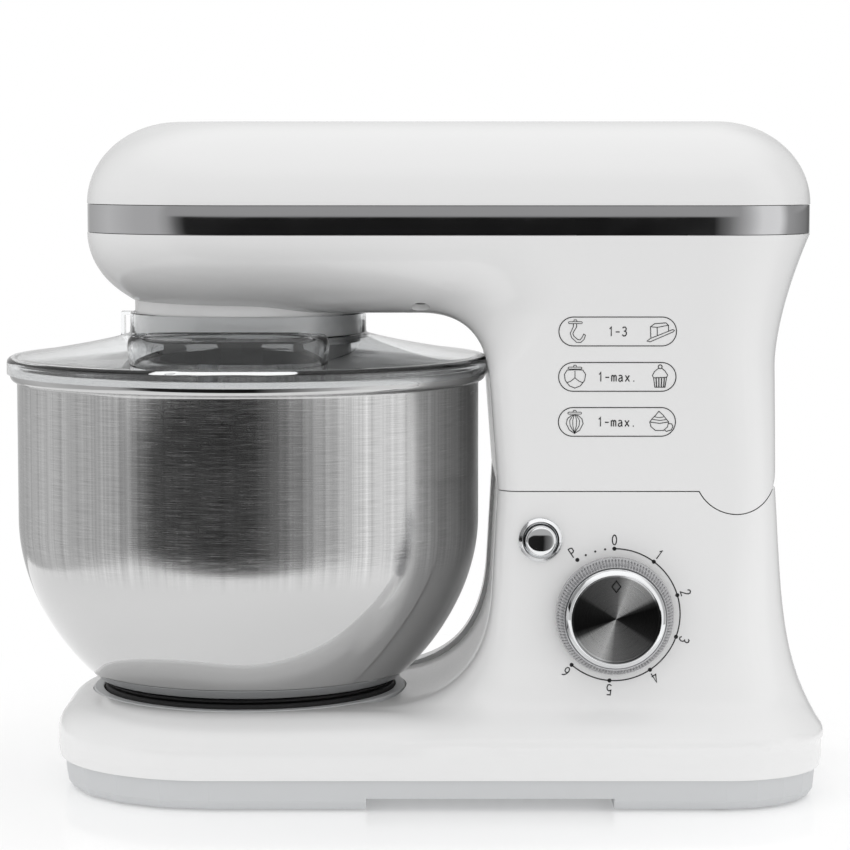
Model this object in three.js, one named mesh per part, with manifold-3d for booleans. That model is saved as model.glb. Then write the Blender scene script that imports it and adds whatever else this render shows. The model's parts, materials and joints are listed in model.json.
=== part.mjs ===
// Tilt-head stand mixer, in millimetres. +Z is up, the bowl and nose are at -X, the hinge and motor
// at +X, and the dial is on the -Y side. The origin is the middle of the footprint, on the table.
import * as THREE from 'three';
import { mergeVertices } from 'three/addons/utils/BufferGeometryUtils.js';
import Module from 'manifold-3d';

const wasm = await Module();
wasm.setup();

// ---------------------------------------------------------------- driving dimensions
const GAP = 0.3;                                  // clearance between pieces that touch
const WALL = 2.5;                                 // moulded wall thickness

const BOWL_X = -79;                               // bowl, hub and lid axis
const HINGE = { x: 152.5, z: 157, lobe: 19.8 };   // head hinge axis, parallel to Y
const SEAM_Z = 148;                               // parting line between head and base

const HEAD = { x0: -156.7, x1: 190.4, half: 80, front: 79.5, rear: 50 };
const BAND = { z0: 266.6, z1: 280.2 };            // trim band round the head
const CREST_Z = 319.6;
const BELLY_Z = 229;                              // underside of the head
const TOP_EDGE = 44;                              // how far the top cover's edge rolls in
const BELLY_EDGE = 45;                            // how far the belly's edge rolls in

const COLUMN = { x0: 41.3, x1: 172.4, half: 76, front: 14, rear: 22 };
const BASE = { x0: -170.9, x1: 196.2, half: 97, front: 78, rear: 49 };
const DECK_Z = 44;                                // top of the base under the bowl
const RAMP_REACH = 55;                            // how far the ramp runs out along the deck
const DECK_EDGE = { run: 22, drop: 17 };
const RECESS = { radius: 77, z: 41 };              // shallow seat round the bowl's foot
const COVER_Z = 15;                               // seam between housing and bottom cover

const BOWL = { foot: 71, wall: 112.3, bead: 115.8, rimZ: 201.5, sheet: 1.1 };
const BOWL_BEND = { z: 127.3, depth: 89.3, floor: 54 };  // where the bowl's upright wall turns under
const LID = { radius: 117.2, sheet: 1.6, collar: 57.4, collarZ: 227.8 };
const CHUTE = { x: -83, y: -88, long: 91, deep: 42, top: 221.5 };
const HUB = { radius: 55, z0: 212, z1: 245, webZ: 224 };

const DIAL = { x: 95.4, z: 90.2, grip: 27.5, rim: 22.3, face: 20.3, y: -79.6, depth: 14 };
const BUTTON = { x: 61, z: 125.3, bezel: 10.4, cap: 7.2, y: -77.4, travel: 4 };
const LATCH = { x: 76, z: 112 };

const MOTOR_X = 108;
const GEAR = { module: 2.4, main: 30, idlerPinion: 10, idlerWheel: 22, inputPinion: 10 };
const PLANET = { module: 1.9, ring: 32, pinion: 11 };
const IDLER_X = BOWL_X + GEAR.module * (GEAR.main + GEAR.idlerPinion) / 2;
const INPUT_X = IDLER_X + GEAR.module * (GEAR.idlerWheel + GEAR.inputPinion) / 2;
const TOOL_X = BOWL_X - PLANET.module * (PLANET.ring - PLANET.pinion) / 2;
const PULLEY = { large: 36, small: 9, z0: 274, z1: 283 };

// ---------------------------------------------------------------- solids
function solid(geometry) {
  geometry.deleteAttribute('normal');
  geometry.deleteAttribute('uv');
  const merged = mergeVertices(geometry, 1e-4);
  const mesh = new wasm.Mesh({
    numProp: 3,
    vertProperties: new Float32Array(merged.attributes.position.array),
    triVerts: new Uint32Array(merged.index.array),
  });
  return new wasm.Manifold(mesh);
}

function box(x0, x1, y0, y1, z0, z1) {
  const geometry = new THREE.BoxGeometry(x1 - x0, y1 - y0, z1 - z0);
  geometry.translate((x0 + x1) / 2, (y0 + y1) / 2, (z0 + z1) / 2);
  return solid(geometry);
}

// A cylinder along 'x', 'y' or 'z' between two coordinates, at (u, v) on the other two axes.
function rod(axis, from, to, u, v, radius, sides = 16) {
  const geometry = new THREE.CylinderGeometry(radius, radius, to - from, sides);
  const middle = (from + to) / 2;
  if (axis === 'x') geometry.rotateZ(Math.PI / 2).translate(middle, u, v);
  if (axis === 'y') geometry.translate(u, middle, v);
  if (axis === 'z') geometry.rotateX(Math.PI / 2).translate(u, v, middle);
  return solid(geometry);
}

function tube(axis, from, to, u, v, outer, inner, sides = 24) {
  return rod(axis, from, to, u, v, outer, sides)
    .subtract(rod(axis, from - 1, to + 1, u, v, inner, sides));
}

// A solid turned about +Z through the origin, from [radius, z] points. A profile off the axis closes.
function turned(points, sides = 64) {
  const profile = points[0][0] > 0 ? [...points, points[0]] : points;
  const build = (list) => {
    const geometry = new THREE.LatheGeometry(list.map(([r, z]) => new THREE.Vector2(r, z)), sides);
    return solid(geometry.rotateX(Math.PI / 2));
  };
  const made = build(profile);
  return made.volume() < 0 ? build([...profile].reverse()) : made;
}

// A flat outline of THREE.Vector2 in X and Y, raised from z0 to z1, with optional holes.
function raised(outline, z0, z1, holes = []) {
  const shape = new THREE.Shape(outline);
  shape.holes = holes.map((points) => new THREE.Path(points));
  const geometry = new THREE.ExtrudeGeometry(shape, { depth: z1 - z0, bevelEnabled: false });
  geometry.translate(0, 0, z0);
  return solid(geometry);
}

// A closed skin through level outlines of equal point count, listed from the bottom up.
function loft(rings) {
  const count = rings[0].length;
  const vertices = rings.flat();
  const triangles = [];
  for (let level = 0; level < rings.length - 1; level += 1) {
    for (let i = 0; i < count; i += 1) {
      const next = (i + 1) % count;
      const a = level * count + i;
      const b = level * count + next;
      triangles.push(a, b, b + count, a, b + count, a + count);
    }
  }
  const middle = (ring) => {
    const sum = ring.reduce((s, p) => [s[0] + p[0], s[1] + p[1], s[2] + p[2]], [0, 0, 0]);
    return sum.map((value) => value / count);
  };
  const low = vertices.push(middle(rings[0])) - 1;
  const high = vertices.push(middle(rings[rings.length - 1])) - 1;
  const top = (rings.length - 1) * count;
  for (let i = 0; i < count; i += 1) {
    const next = (i + 1) % count;
    triangles.push(low, next, i, high, top + i, top + next);
  }
  const geometry = new THREE.BufferGeometry();
  geometry.setAttribute('position', new THREE.Float32BufferAttribute(vertices.flat(), 3));
  geometry.setIndex(triangles);
  return solid(geometry);
}

// ---------------------------------------------------------------- outlines
const CORNER_STEPS = 5;

// A rounded plan outline at height z, pulled in all round by inset.
function plan({ x0, x1, half, front, rear }, z, inset = 0) {
  const corners = [
    [x1, half, rear, -1, -1, 0],
    [x0, half, front, 1, -1, 90],
    [x0, -half, front, 1, 1, 180],
    [x1, -half, rear, -1, 1, 270],
  ];
  const ring = [];
  for (const [x, y, radius, inX, inY, start] of corners) {
    const r = Math.max(radius - inset, 0.8);
    for (let i = 0; i <= CORNER_STEPS; i += 1) {
      const a = THREE.MathUtils.degToRad(start + (90 * i) / CORNER_STEPS);
      const cx = x + inX * (inset + r);
      const cy = y + inY * (inset + r);
      ring.push([cx + r * Math.cos(a), cy + r * Math.sin(a), z]);
    }
  }
  return ring;
}

const roll = (t, run) => run * (1 - Math.sqrt(Math.max(0, 1 - t * t)));
const steps = (from, to, count) =>
  Array.from({ length: count + 1 }, (_, i) => from + ((to - from) * i) / count);
const lerp = THREE.MathUtils.lerp;
const smooth = THREE.MathUtils.smoothstep;

// ---------------------------------------------------------------- head shells
// The cover's edge is a quarter ellipse that ends on a nearly flat crown.
function topCoverBody(skin) {
  const z0 = BAND.z1 + GAP;
  const height = CREST_Z - skin - z0;
  const angles = steps(0, 84, skin > 0 ? 4 : 7).map(THREE.MathUtils.degToRad);
  const rings = angles.map((a) => {
    const t = Math.sin(a);
    return plan(HEAD, z0 + height * t, skin + roll(t, TOP_EDGE));
  });
  if (skin > 0) rings.unshift(plan(HEAD, z0 - 1, skin));
  return loft(rings);
}

function headTopCover() {
  return topCoverBody(0).subtract(topCoverBody(WALL));
}

function trimBand() {
  const outer = loft([plan(HEAD, BAND.z0 + GAP, 0.2), plan(HEAD, BAND.z1, 0.2)]);
  const inner = loft([plan(HEAD, BAND.z0 - 1, 3), plan(HEAD, BAND.z1 + 1, 3)]);
  return outer.subtract(inner);
}

function bellyBody(skin) {
  const bottom = BELLY_Z + skin;
  const height = BAND.z0 - bottom;
  const front = { ...HEAD, x1: 60, rear: 12 };
  const rings = steps(84, 0, skin > 0 ? 4 : 7).map(THREE.MathUtils.degToRad).map((a) => {
    const t = Math.sin(a);
    return plan(front, BAND.z0 - height * t, skin + roll(t, BELLY_EDGE));
  });
  if (skin > 0) rings.push(plan(front, BAND.z0 + 1, skin));
  return loft(rings);
}

// Front of the upper column: a gentle lean, then a fillet that sweeps out under the head.
function columnFront(z) {
  const lean = COLUMN.x0 - 0.075 * (z - SEAM_Z);
  const fillet = Math.max(0, z - 205);
  return lean - 0.0275 * fillet ** 2;
}

function upperColumnPlan(z) {
  const flare = Math.max(0, (z - 205) / (BAND.z0 - 205)) ** 1.6;
  const widen = THREE.MathUtils.clamp((z - SEAM_Z) / (BAND.z0 - SEAM_Z), 0, 1);
  return {
    x0: columnFront(z),
    x1: lerp(COLUMN.x1, HEAD.x1, flare),
    half: lerp(COLUMN.half, HEAD.half, smooth(widen, 0, 1)),
    front: lerp(COLUMN.front, 40, smooth(z, 205, 250)),
    rear: lerp(COLUMN.rear, HEAD.rear, widen ** 1.5),
  };
}

function upperColumnBody(skin) {
  const bottom = HINGE.z - HINGE.lobe - (skin > 0 ? 5 : 0);
  const levels = [bottom, 205, ...steps(214, 250, skin > 0 ? 2 : 4), BAND.z0 + (skin > 0 ? 1 : 0)];
  return loft(levels.map((z) => plan(upperColumnPlan(z), z, skin)));
}

// What the head housing loses below the parting line: all but the hinge lobes.
function belowSeam() {
  const lobe = rod('y', -100, 100, HINGE.x, HINGE.z, HINGE.lobe, 36);
  const rearEdge = box(HINGE.x, 200, -100, 100, 120, HINGE.z + 3);
  return box(-200, 200, -100, 100, 100, SEAM_Z).add(rearEdge).subtract(lobe);
}

function ventSlots() {
  return [-30, -18, -6, 6, 18, 30]
    .map((y) => box(150, 200, y - 2.2, y + 2.2, 232, 256))
    .reduce((all, slot) => all.add(slot));
}

function headHousing() {
  const scoop = (extra) => rod('z', 120, 216, BOWL_X, 0, LID.radius + 1.2 + extra, 64);
  const outer = bellyBody(0).add(upperColumnBody(0).subtract(scoop(0)));
  const inner = bellyBody(WALL).add(upperColumnBody(WALL).subtract(scoop(WALL)));
  const hinge = rod('y', -100, 100, HINGE.x, HINGE.z, 5.6, 24);
  return outer.subtract(inner)
    .subtract(belowSeam())
    .subtract(rod('z', 200, 250, BOWL_X, 0, HUB.radius + GAP, 48))
    .subtract(ventSlots())
    .subtract(hinge.intersect(box(100, 200, -74.4, 74.4, 100, 200)));
}

// ---------------------------------------------------------------- base shells
const flareAt = (z) => THREE.MathUtils.clamp((147 - z) / 113, 0, 1);

// Front of the lower column: upright, then a quick fillet and a ramp down to the deck.
function rampFront(z) {
  const upright = COLUMN.x0 - 0.055 * (SEAM_Z - z);
  const height = THREE.MathUtils.clamp(z - DECK_Z, 0, RAMP_REACH);
  return upright - (Math.sqrt(RAMP_REACH) - Math.sqrt(height)) ** 2;
}

function lowerColumnPlan(z, skin) {
  const s = flareAt(z);
  return {
    x0: rampFront(z + skin),
    x1: lerp(COLUMN.x1, BASE.x1, 0.35 * s + 0.65 * s ** 4),
    half: lerp(COLUMN.half, BASE.half, 0.06 * s + 0.94 * s ** 8),
    front: lerp(COLUMN.front, 42, smooth(s, 0.45, 0.9)),
    rear: lerp(COLUMN.rear, BASE.rear, s ** 1.5),
  };
}

function lowerColumnBody(skin) {
  const top = SEAM_Z - GAP + (skin > 0 ? 1 : 0);
  const levels = skin > 0 ? [30, 44, 50, 60, 75, 99, top] : [30, 44, 46, 49, 54, 61, 70, 82, 99, top];
  return loft(levels.map((z) => plan(lowerColumnPlan(z, skin), z, skin)));
}

function deckBody(skin) {
  const z1 = DECK_Z - skin;
  const z0 = z1 - DECK_EDGE.drop;
  const rings = [[skin > 0 ? COVER_Z - 1 : COVER_Z + GAP, 1.2], [19, 0.3], [23, 0]]
    .map(([z, inset]) => plan(BASE, z, inset + skin));
  for (const a of steps(0, 84, skin > 0 ? 2 : 4).map(THREE.MathUtils.degToRad)) {
    const t = Math.sin(a);
    rings.push(plan(BASE, z0 + DECK_EDGE.drop * t, skin + roll(t, DECK_EDGE.run)));
  }
  return loft(rings);
}

const SCREW_SPOTS = [[-94, -68], [-94, 68], [145, -80], [145, 80]];

function baseHousing() {
  const outer = deckBody(0).add(lowerColumnBody(0));
  let inner = deckBody(WALL).add(lowerColumnBody(WALL))
    .subtract(rod('z', RECESS.z - WALL, 60, BOWL_X, 0, RECESS.radius + WALL, 32));
  for (const [x, y] of SCREW_SPOTS) {
    inner = inner.subtract(rod('z', 0, 60, x, y, 5, 10));
  }
  let made = outer.subtract(inner)
    .subtract(rod('y', -100, 100, HINGE.x, HINGE.z, HINGE.lobe + GAP, 36))
    .subtract(rod('z', RECESS.z, 60, BOWL_X, 0, RECESS.radius, 40))
    .subtract(rod('y', -100, -60, DIAL.x, DIAL.z, 5, 20))
    .subtract(rod('y', -100, -60, BUTTON.x, BUTTON.z, BUTTON.cap + 0.8, 24))
    .subtract(rod('x', 180, 200, 40, 27, 8.3, 16));
  for (const [x, y] of SCREW_SPOTS) {
    made = made.subtract(rod('z', 0, 34, x, y, 1.9, 8));
  }
  return made;
}

const FOOT_SPOTS = [[-124, -50], [-124, 50], [158, -56], [158, 56]];

function baseBottomCover() {
  const outer = loft([
    plan(BASE, 1.2, 6), plan(BASE, 5, 3.4), plan(BASE, COVER_Z, 2.4),
  ]);
  let made = outer
    .subtract(loft([plan(BASE, 9.5, 6), plan(BASE, COVER_Z + 1, 5)]))
    .subtract(box(-20, 95, -100, 100, 0, 6.5));
  for (const [x, y] of FOOT_SPOTS) {
    made = made.subtract(rod('z', 0, 5, x, y, 17, 24));
  }
  for (const [x, y] of SCREW_SPOTS) {
    made = made.subtract(rod('z', 0, 20, x, y, 2.3, 8)).subtract(rod('z', 0, 6, x, y, 4.6, 12));
  }
  for (const x of steps(5, 70, 5)) {
    made = made.subtract(box(x - 2, x + 2, -34, 34, 0, 12));
  }
  return made;
}

const suctionFoot = (x, y) => turned([
  [0, 1.6], [11, 0.8], [14.5, 0], [16, 0.7], [14, 4.6], [0, 4.6],
], 16).translate([x, y, 0]);

const coverScrew = (x, y) =>
  rod('z', 3.2, 5.7, x, y, 3.6, 8).add(rod('z', 5, 26, x, y, 1.6, 6));

function bowlSocketRing() {
  return tube('z', 41.3, 44.2, BOWL_X, 0, 76.6, 74.4, 32);
}

const cordGland = () => tube('x', 184, 195.6, 40, 27, 8, 3.6, 16);

// ---------------------------------------------------------------- controls
function buttonBezel() {
  const { x, z, bezel, cap, y } = BUTTON;
  return tube('y', y - 2, y, x, z, bezel, cap + GAP, 28);
}

function releaseCap() {
  const { x, z, cap, y } = BUTTON;
  return turned([[0, 7.5], [4, 6.9], [cap, 3.6], [cap, -8], [3, -8], [3, -63], [0, -63]], 24)
    .rotate([90, 0, 0]).translate([x, y, z]);
}

// Latch lever: a plate that turns about its pin and hooks up towards the head.
function latchLever() {
  const outline = [[-5, -5], [5, -5], [5, 22], [0, 26], [-3, 24], [-1, 20], [-5, 16]]
    .map(([x, y]) => new THREE.Vector2(x, y));
  const shape = new THREE.Shape(outline);
  const geometry = new THREE.ExtrudeGeometry(shape, { depth: 6, bevelEnabled: false });
  geometry.rotateX(Math.PI / 2).translate(LATCH.x, 3, LATCH.z);
  return solid(geometry).subtract(rod('y', -10, 10, LATCH.x, LATCH.z, 2.6, 16));
}

const latchPin = () => rod('y', -16, 16, LATCH.x, LATCH.z, 2.2, 16);

function latchCatch() {
  return box(60, 70, -8, 8, 146, 170).subtract(box(59, 66, -9, 9, 145, 150))
    .add(box(60, 78, -8, 8, 168, 172));
}

function dialGrip() {
  const ridges = 28;
  const outline = Array.from({ length: ridges * 2 }, (_, i) => {
    const a = (i * Math.PI) / ridges;
    const r = DIAL.grip - (i % 2 ? 1.1 : 0);
    return new THREE.Vector2(r * Math.cos(a), r * Math.sin(a));
  });
  const shape = new THREE.Shape(outline);
  const geometry = new THREE.ExtrudeGeometry(shape, { depth: DIAL.depth - 3, bevelEnabled: false });
  geometry.rotateX(Math.PI / 2).translate(DIAL.x, DIAL.y, DIAL.z);
  return solid(geometry)
    .subtract(rod('y', DIAL.y - 20, DIAL.y - 3, DIAL.x, DIAL.z, DIAL.rim + GAP, 32))
    .subtract(rod('y', DIAL.y - 20, DIAL.y + 1, DIAL.x, DIAL.z, 3.3, 20));
}

const dialRim = () => tube('y', DIAL.y - DIAL.depth, DIAL.y - 3 - GAP, DIAL.x, DIAL.z,
  DIAL.rim, DIAL.face + GAP, 32);

const dialFace = () => rod('y', DIAL.y - DIAL.depth + 1.4, DIAL.y - 6, DIAL.x, DIAL.z, DIAL.face, 32);
const dialShaft = () => rod('y', DIAL.y - 5.6, -46, DIAL.x, DIAL.z, 3, 12);

const speedSwitch = () => box(DIAL.x - 17, DIAL.x + 17, -66, -38, DIAL.z - 17, DIAL.z + 17)
  .subtract(rod('y', -70, -44, DIAL.x, DIAL.z, 3.5, 20));

const controlBoard = () => box(66, 150, 26, 27.8, 34, 104)
  .add(box(80, 96, 18, 26.5, 60, 84)).add(box(120, 140, 20, 26.5, 44, 58));

// ---------------------------------------------------------------- hinge
function hingeBracket(side) {
  const y = side * 55;
  const outer = box(HINGE.x - 11, HINGE.x + 7, y - 1.5, y + 1.5, 96, HINGE.z)
    .add(rod('y', y - 1.5, y + 1.5, HINGE.x, HINGE.z, 11, 24))
    .add(box(HINGE.x - 26, HINGE.x + 15, y - 1.5, y + 1.5, 84, 98));
  return outer.subtract(rod('y', y - 3, y + 3, HINGE.x, HINGE.z, 5.3, 24));
}

const hingePin = () => rod('y', -64, 64, HINGE.x, HINGE.z, 5, 24);

function hingeLug(side) {
  const y = side * 60;
  return box(HINGE.x - 10, HINGE.x + 10, y - 2, y + 2, HINGE.z, 190)
    .add(rod('y', y - 2, y + 2, HINGE.x, HINGE.z, 10, 24))
    .subtract(rod('y', y - 4, y + 4, HINGE.x, HINGE.z, 5.3, 24));
}

// ---------------------------------------------------------------- motor
function motorPlate(z, bore) {
  return box(MOTOR_X - 36, MOTOR_X + 36, -34, 34, z, z + 3)
    .subtract(rod('z', z - 1, z + 4, MOTOR_X, 0, bore, 24));
}

const fieldCore = () => box(MOTOR_X - 32, MOTOR_X + 32, -30, 30, 206, 240)
  .subtract(rod('z', 200, 250, MOTOR_X, 0, 19, 32));

function fieldCoil(side) {
  const outer = box(MOTOR_X - 24, MOTOR_X + 24, 22, 29, 240.4, 252);
  const made = outer.subtract(box(MOTOR_X - 16, MOTOR_X + 16, 20, 30, 245, 260));
  return side < 0 ? made.mirror([0, 1, 0]) : made;
}

const armature = () => rod('z', 207, 239, MOTOR_X, 0, 18, 24)
  .subtract(rod('z', 200, 250, MOTOR_X, 0, 4.3, 20));
const commutator = () => tube('z', 192, 203, MOTOR_X, 0, 11, 4.3, 24);
const motorShaft = () => rod('z', 176, PULLEY.z1 + 2, MOTOR_X, 0, 4, 20);

function fanWheel() {
  let made = tube('z', 258, 260, MOTOR_X, 0, 28, 4.3, 24).add(tube('z', 258, 268, MOTOR_X, 0, 8, 4.3, 12));
  for (let i = 0; i < 6; i += 1) {
    made = made.add(box(7, 27, -0.8, 0.8, 259, 267).rotate([0, 0, i * 60]).translate([MOTOR_X, 0, 0]));
  }
  return made;
}

const smallPulley = () => tube('z', PULLEY.z0 - 2, PULLEY.z1, MOTOR_X, 0, PULLEY.small, 4.3, 24);

// Brush ring: a plate above the lower motor plate with a brush box on each side.
function brushRing() {
  return tube('z', 189, 192, MOTOR_X, 0, 29, 13, 24)
    .add(box(MOTOR_X - 28, MOTOR_X - 12, -4, 4, 191, 201))
    .add(box(MOTOR_X + 12, MOTOR_X + 28, -4, 4, 191, 201));
}

function driveBelt() {
  const loop = (extra) => {
    const large = PULLEY.large + extra;
    const small = PULLEY.small + extra;
    const reach = MOTOR_X - INPUT_X;
    const lean = Math.asin((large - small) / reach);
    const points = [];
    for (const a of steps(Math.PI / 2 - lean, 1.5 * Math.PI + lean, 16)) {
      points.push(new THREE.Vector2(INPUT_X + large * Math.cos(a), large * Math.sin(a)));
    }
    for (const a of steps(1.5 * Math.PI + lean, 2.5 * Math.PI - lean, 6)) {
      points.push(new THREE.Vector2(MOTOR_X + small * Math.cos(a), small * Math.sin(a)));
    }
    return points;
  };
  return raised(loop(2), PULLEY.z0 + 0.6, PULLEY.z1 - 1.2, [loop(0.6)]);
}

// ---------------------------------------------------------------- gears
// One tooth is a trapezium that leaves running backlash. Internal gears point inwards.
function gearOutline(teeth, module, x, phase, internal = false) {
  const pitch = (2 * Math.PI) / teeth;
  const radius = (teeth * module) / 2;
  const sign = internal ? -1 : 1;
  const root = radius - sign * 1.1 * module;
  const tip = radius + sign * 0.85 * module;
  const points = [];
  for (let i = 0; i < teeth; i += 1) {
    const middle = phase + i * pitch;
    for (const [offset, r] of [[-0.3, root], [-0.13, tip], [0.13, tip], [0.3, root]]) {
      const a = middle + offset * pitch;
      points.push(new THREE.Vector2(x + r * Math.cos(a), r * Math.sin(a)));
    }
  }
  return points;
}

// A gear standing at x with a tooth at the given angle, or a space there when gapAt is true.
function gear(teeth, module, x, z0, z1, angle, gapAt = false) {
  const phase = angle + (gapAt ? Math.PI / teeth : 0);
  return raised(gearOutline(teeth, module, x, phase), z0, z1);
}

const bore = (x, radius) => rod('z', 200, 300, x, 0, radius, 20);
const mainGear = () => gear(GEAR.main, GEAR.module, BOWL_X, 251, 259, 0).subtract(bore(BOWL_X, 6.3));

function idlerGear() {
  return gear(GEAR.idlerPinion, GEAR.module, IDLER_X, 250, 262.5, Math.PI, true)
    .add(gear(GEAR.idlerWheel, GEAR.module, IDLER_X, 262, 269, 0))
    .subtract(bore(IDLER_X, 4.3));
}

function largePulley() {
  return gear(GEAR.inputPinion, GEAR.module, INPUT_X, 261, 271.5, Math.PI, true)
    .add(rod('z', 271, PULLEY.z1, INPUT_X, 0, PULLEY.large, 40))
    .add(rod('z', 271, 273.6, INPUT_X, 0, PULLEY.large + 3, 40))
    .subtract(bore(INPUT_X, 4.3));
}

const gearAxle = (x, top) => rod('z', 246.3, top, x, 0, 4, 20);

function ringGear() {
  const teeth = gearOutline(PLANET.ring, PLANET.module, BOWL_X, Math.PI + Math.PI / PLANET.ring, true);
  return rod('z', 215, HUB.webZ - GAP, BOWL_X, 0, 38, 24).subtract(raised(teeth, 210, 230));
}

function hubHousing() {
  const { radius, z0, z1, webZ } = HUB;
  return tube('z', z0, z1, BOWL_X, 0, radius, radius - WALL, 32)
    .add(tube('z', webZ, webZ + 3, BOWL_X, 0, radius - 1, 12.3, 32));
}

const carrierBearing = () => tube('z', HUB.webZ + 0.4, HUB.webZ + 6.4, BOWL_X, 0, 12, 6.4, 24);

function chassisPlate() {
  const z0 = 246;
  const outline = plan({ x0: -136, x1: 68, half: 54, front: 53, rear: 8 }, 0)
    .map(([x, y]) => new THREE.Vector2(x, y));
  let made = raised(outline, z0 - 0.7, z0 + 2.3)
    .subtract(rod('z', 240, 255, BOWL_X, 0, 6.5, 24));
  for (const x of [IDLER_X, INPUT_X]) {
    made = made.subtract(rod('z', 240, 255, x, 0, 4.3, 20));
  }
  return made;
}

const planetCarrier = () => rod('z', 205, 211.5, BOWL_X, 0, 50, 32)
  .add(rod('z', 211, 262, BOWL_X, 0, 6, 24))
  .subtract(rod('z', 200, 220, TOOL_X, 0, 5.3));

const planetPinion = () => gear(PLANET.pinion, PLANET.module, TOOL_X, 215.5, 223, Math.PI)
  .subtract(bore(TOOL_X, 5.2));

// ---------------------------------------------------------------- tool
// The drive shaft of the tool, with the cross pin that the beater's collar hooks over.
const toolShaft = () => rod('z', 168, 223.4, TOOL_X, 0, 4.9, 20)
  .add(rod('y', -10.5, 10.5, TOOL_X, 184, 1.6, 8));

// A slab in the X-Z plane through the tool axis, from an outline of [x, z] points, 2 * reach deep.
function upright(points, reach) {
  const shape = new THREE.Shape(points.map(([x, z]) => new THREE.Vector2(x, z)));
  const geometry = new THREE.ExtrudeGeometry(shape, { depth: 2 * reach, bevelEnabled: false });
  geometry.rotateX(Math.PI / 2).translate(TOOL_X, reach, 0);
  return solid(geometry);
}

// Flat beater: a spade-shaped frame with a centre rib and slanted bars.
function flatBeater() {
  const half = [[6.5, 162], [12, 158], [33, 150], [46, 136], [50, 118], [47, 96], [38, 74], [22, 58]];
  const windows = [
    [[4, 134], [38, 134], [27, 144], [4, 150]],
    [[4, 104], [42, 112], [41, 126], [4, 126]],
    [[4, 82], [37, 90], [40, 103], [4, 95]],
    [[4, 66], [19, 66], [30, 79], [4, 73]],
  ];
  const mirrored = (points) => points.map(([x, z]) => [-x, z]).reverse();
  let made = upright([...mirrored(half), ...half], 4).add(rod('z', 150, 190, TOOL_X, 0, 8.4, 24));
  for (const points of windows) {
    made = made.subtract(upright(points, 6)).subtract(upright(mirrored(points), 6));
  }
  return made.subtract(rod('z', 165, 200, TOOL_X, 0, 5.2, 24))
    .subtract(box(TOOL_X - 2, TOOL_X + 2, -9, 9, 178, 195));
}

// ---------------------------------------------------------------- bowl and lid
// Heights at which the round bottom is drawn, from the foot up to the upright wall.
const BOWL_LEVELS = [47, 51, 57, 65, 76, 90, 106, 127];

// Outside radius of the bowl: a deep round bottom that runs up into an upright wall.
function bowlWall(z) {
  const depth = THREE.MathUtils.clamp((BOWL_BEND.z - z) / BOWL_BEND.depth, 0, 1);
  return BOWL_BEND.floor + (BOWL.wall - BOWL_BEND.floor) * (1 - depth ** 1.94) ** 0.75;
}

function mixingBowl() {
  const { foot, wall, bead, rimZ, sheet } = BOWL;
  const outside = BOWL_LEVELS.map((z) => [bowlWall(z), z]);
  const inside = BOWL_LEVELS.slice(1).map((z) => [bowlWall(z) - sheet, z + 0.8]).reverse();
  const floorRadius = foot - 6;
  return turned([
    [0, 46.4], [foot - 2, 46.4], ...outside, [wall, rimZ - 7],
    [bead - 0.8, rimZ - 6], [bead, rimZ - 3], [bead - 0.8, rimZ], [wall + 0.5, rimZ],
    [wall - sheet, rimZ - 2], ...inside, [floorRadius, 48.4], [0, 47.9],
  ], 40).translate([BOWL_X, 0, 0]);
}

function bowlFoot() {
  const lug = box(BOWL_X - 73.6, BOWL_X + 73.6, -7, 7, 41.8, 43.2)
    .subtract(rod('z', 40, 50, BOWL_X, 0, 68, 24));
  return tube('z', 41.5, 46.1, BOWL_X, 0, BOWL.foot, 62, 32).add(lug);
}

function stadium(long, deep, x, y, arc = 8) {
  const points = [];
  for (const [centre, start] of [[(long - deep) / 2, -90], [-(long - deep) / 2, 90]]) {
    for (let i = 0; i <= arc; i += 1) {
      const a = THREE.MathUtils.degToRad(start + (180 * i) / arc);
      points.push(new THREE.Vector2(x + centre + (deep / 2) * Math.cos(a), y + (deep / 2) * Math.sin(a)));
    }
  }
  return points;
}

// Height of the lid's upper face at a radius: nearly flat at the rim, rising to the collar.
const lidTop = (r) => 218.6 - 12.2 * ((r - 56) / 58) ** 0.72;

function splashLid() {
  const { radius, sheet, collar, collarZ } = LID;
  const bore = HUB.radius + 0.8;
  const top = [114, 94, 72, 57.5].map((r) => [r, lidTop(r)]);
  const under = top.map(([r, z]) => [r, z - sheet]).reverse();
  const dome = turned([
    [radius, 198.6], [radius, 205], [115.6, 206.5], ...top, [collar, lidTop(57.5)], [collar, collarZ],
    [bore, collarZ], [bore, lidTop(57.5) - sheet], ...under.slice(1, -1),
    [113.4, 204], [radius - 0.9, 203], [radius - 0.9, 198.6],
  ], 40).translate([BOWL_X, 0, 0]);
  const { x, y, long, deep } = CHUTE;
  const middle = [114, 92, 70, 57].map((r) => [r, lidTop(r) - sheet / 2]);
  const below = turned([[0, 195], [150, 195], [150, 204], ...middle, [0, lidTop(57) - sheet / 2]], 48);
  const wall = raised(stadium(long, deep, x, y), 200, CHUTE.top)
    .subtract(below.translate([BOWL_X, 0, 0]));
  const opening = raised(stadium(long - 5, deep - 5, x, y), 190, CHUTE.top + 5);
  const lock = box(BOWL_X - 62, BOWL_X - 56.5, -5, 5, 216.5, collarZ);
  return dome.add(wall).add(lock).subtract(opening);
}

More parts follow.
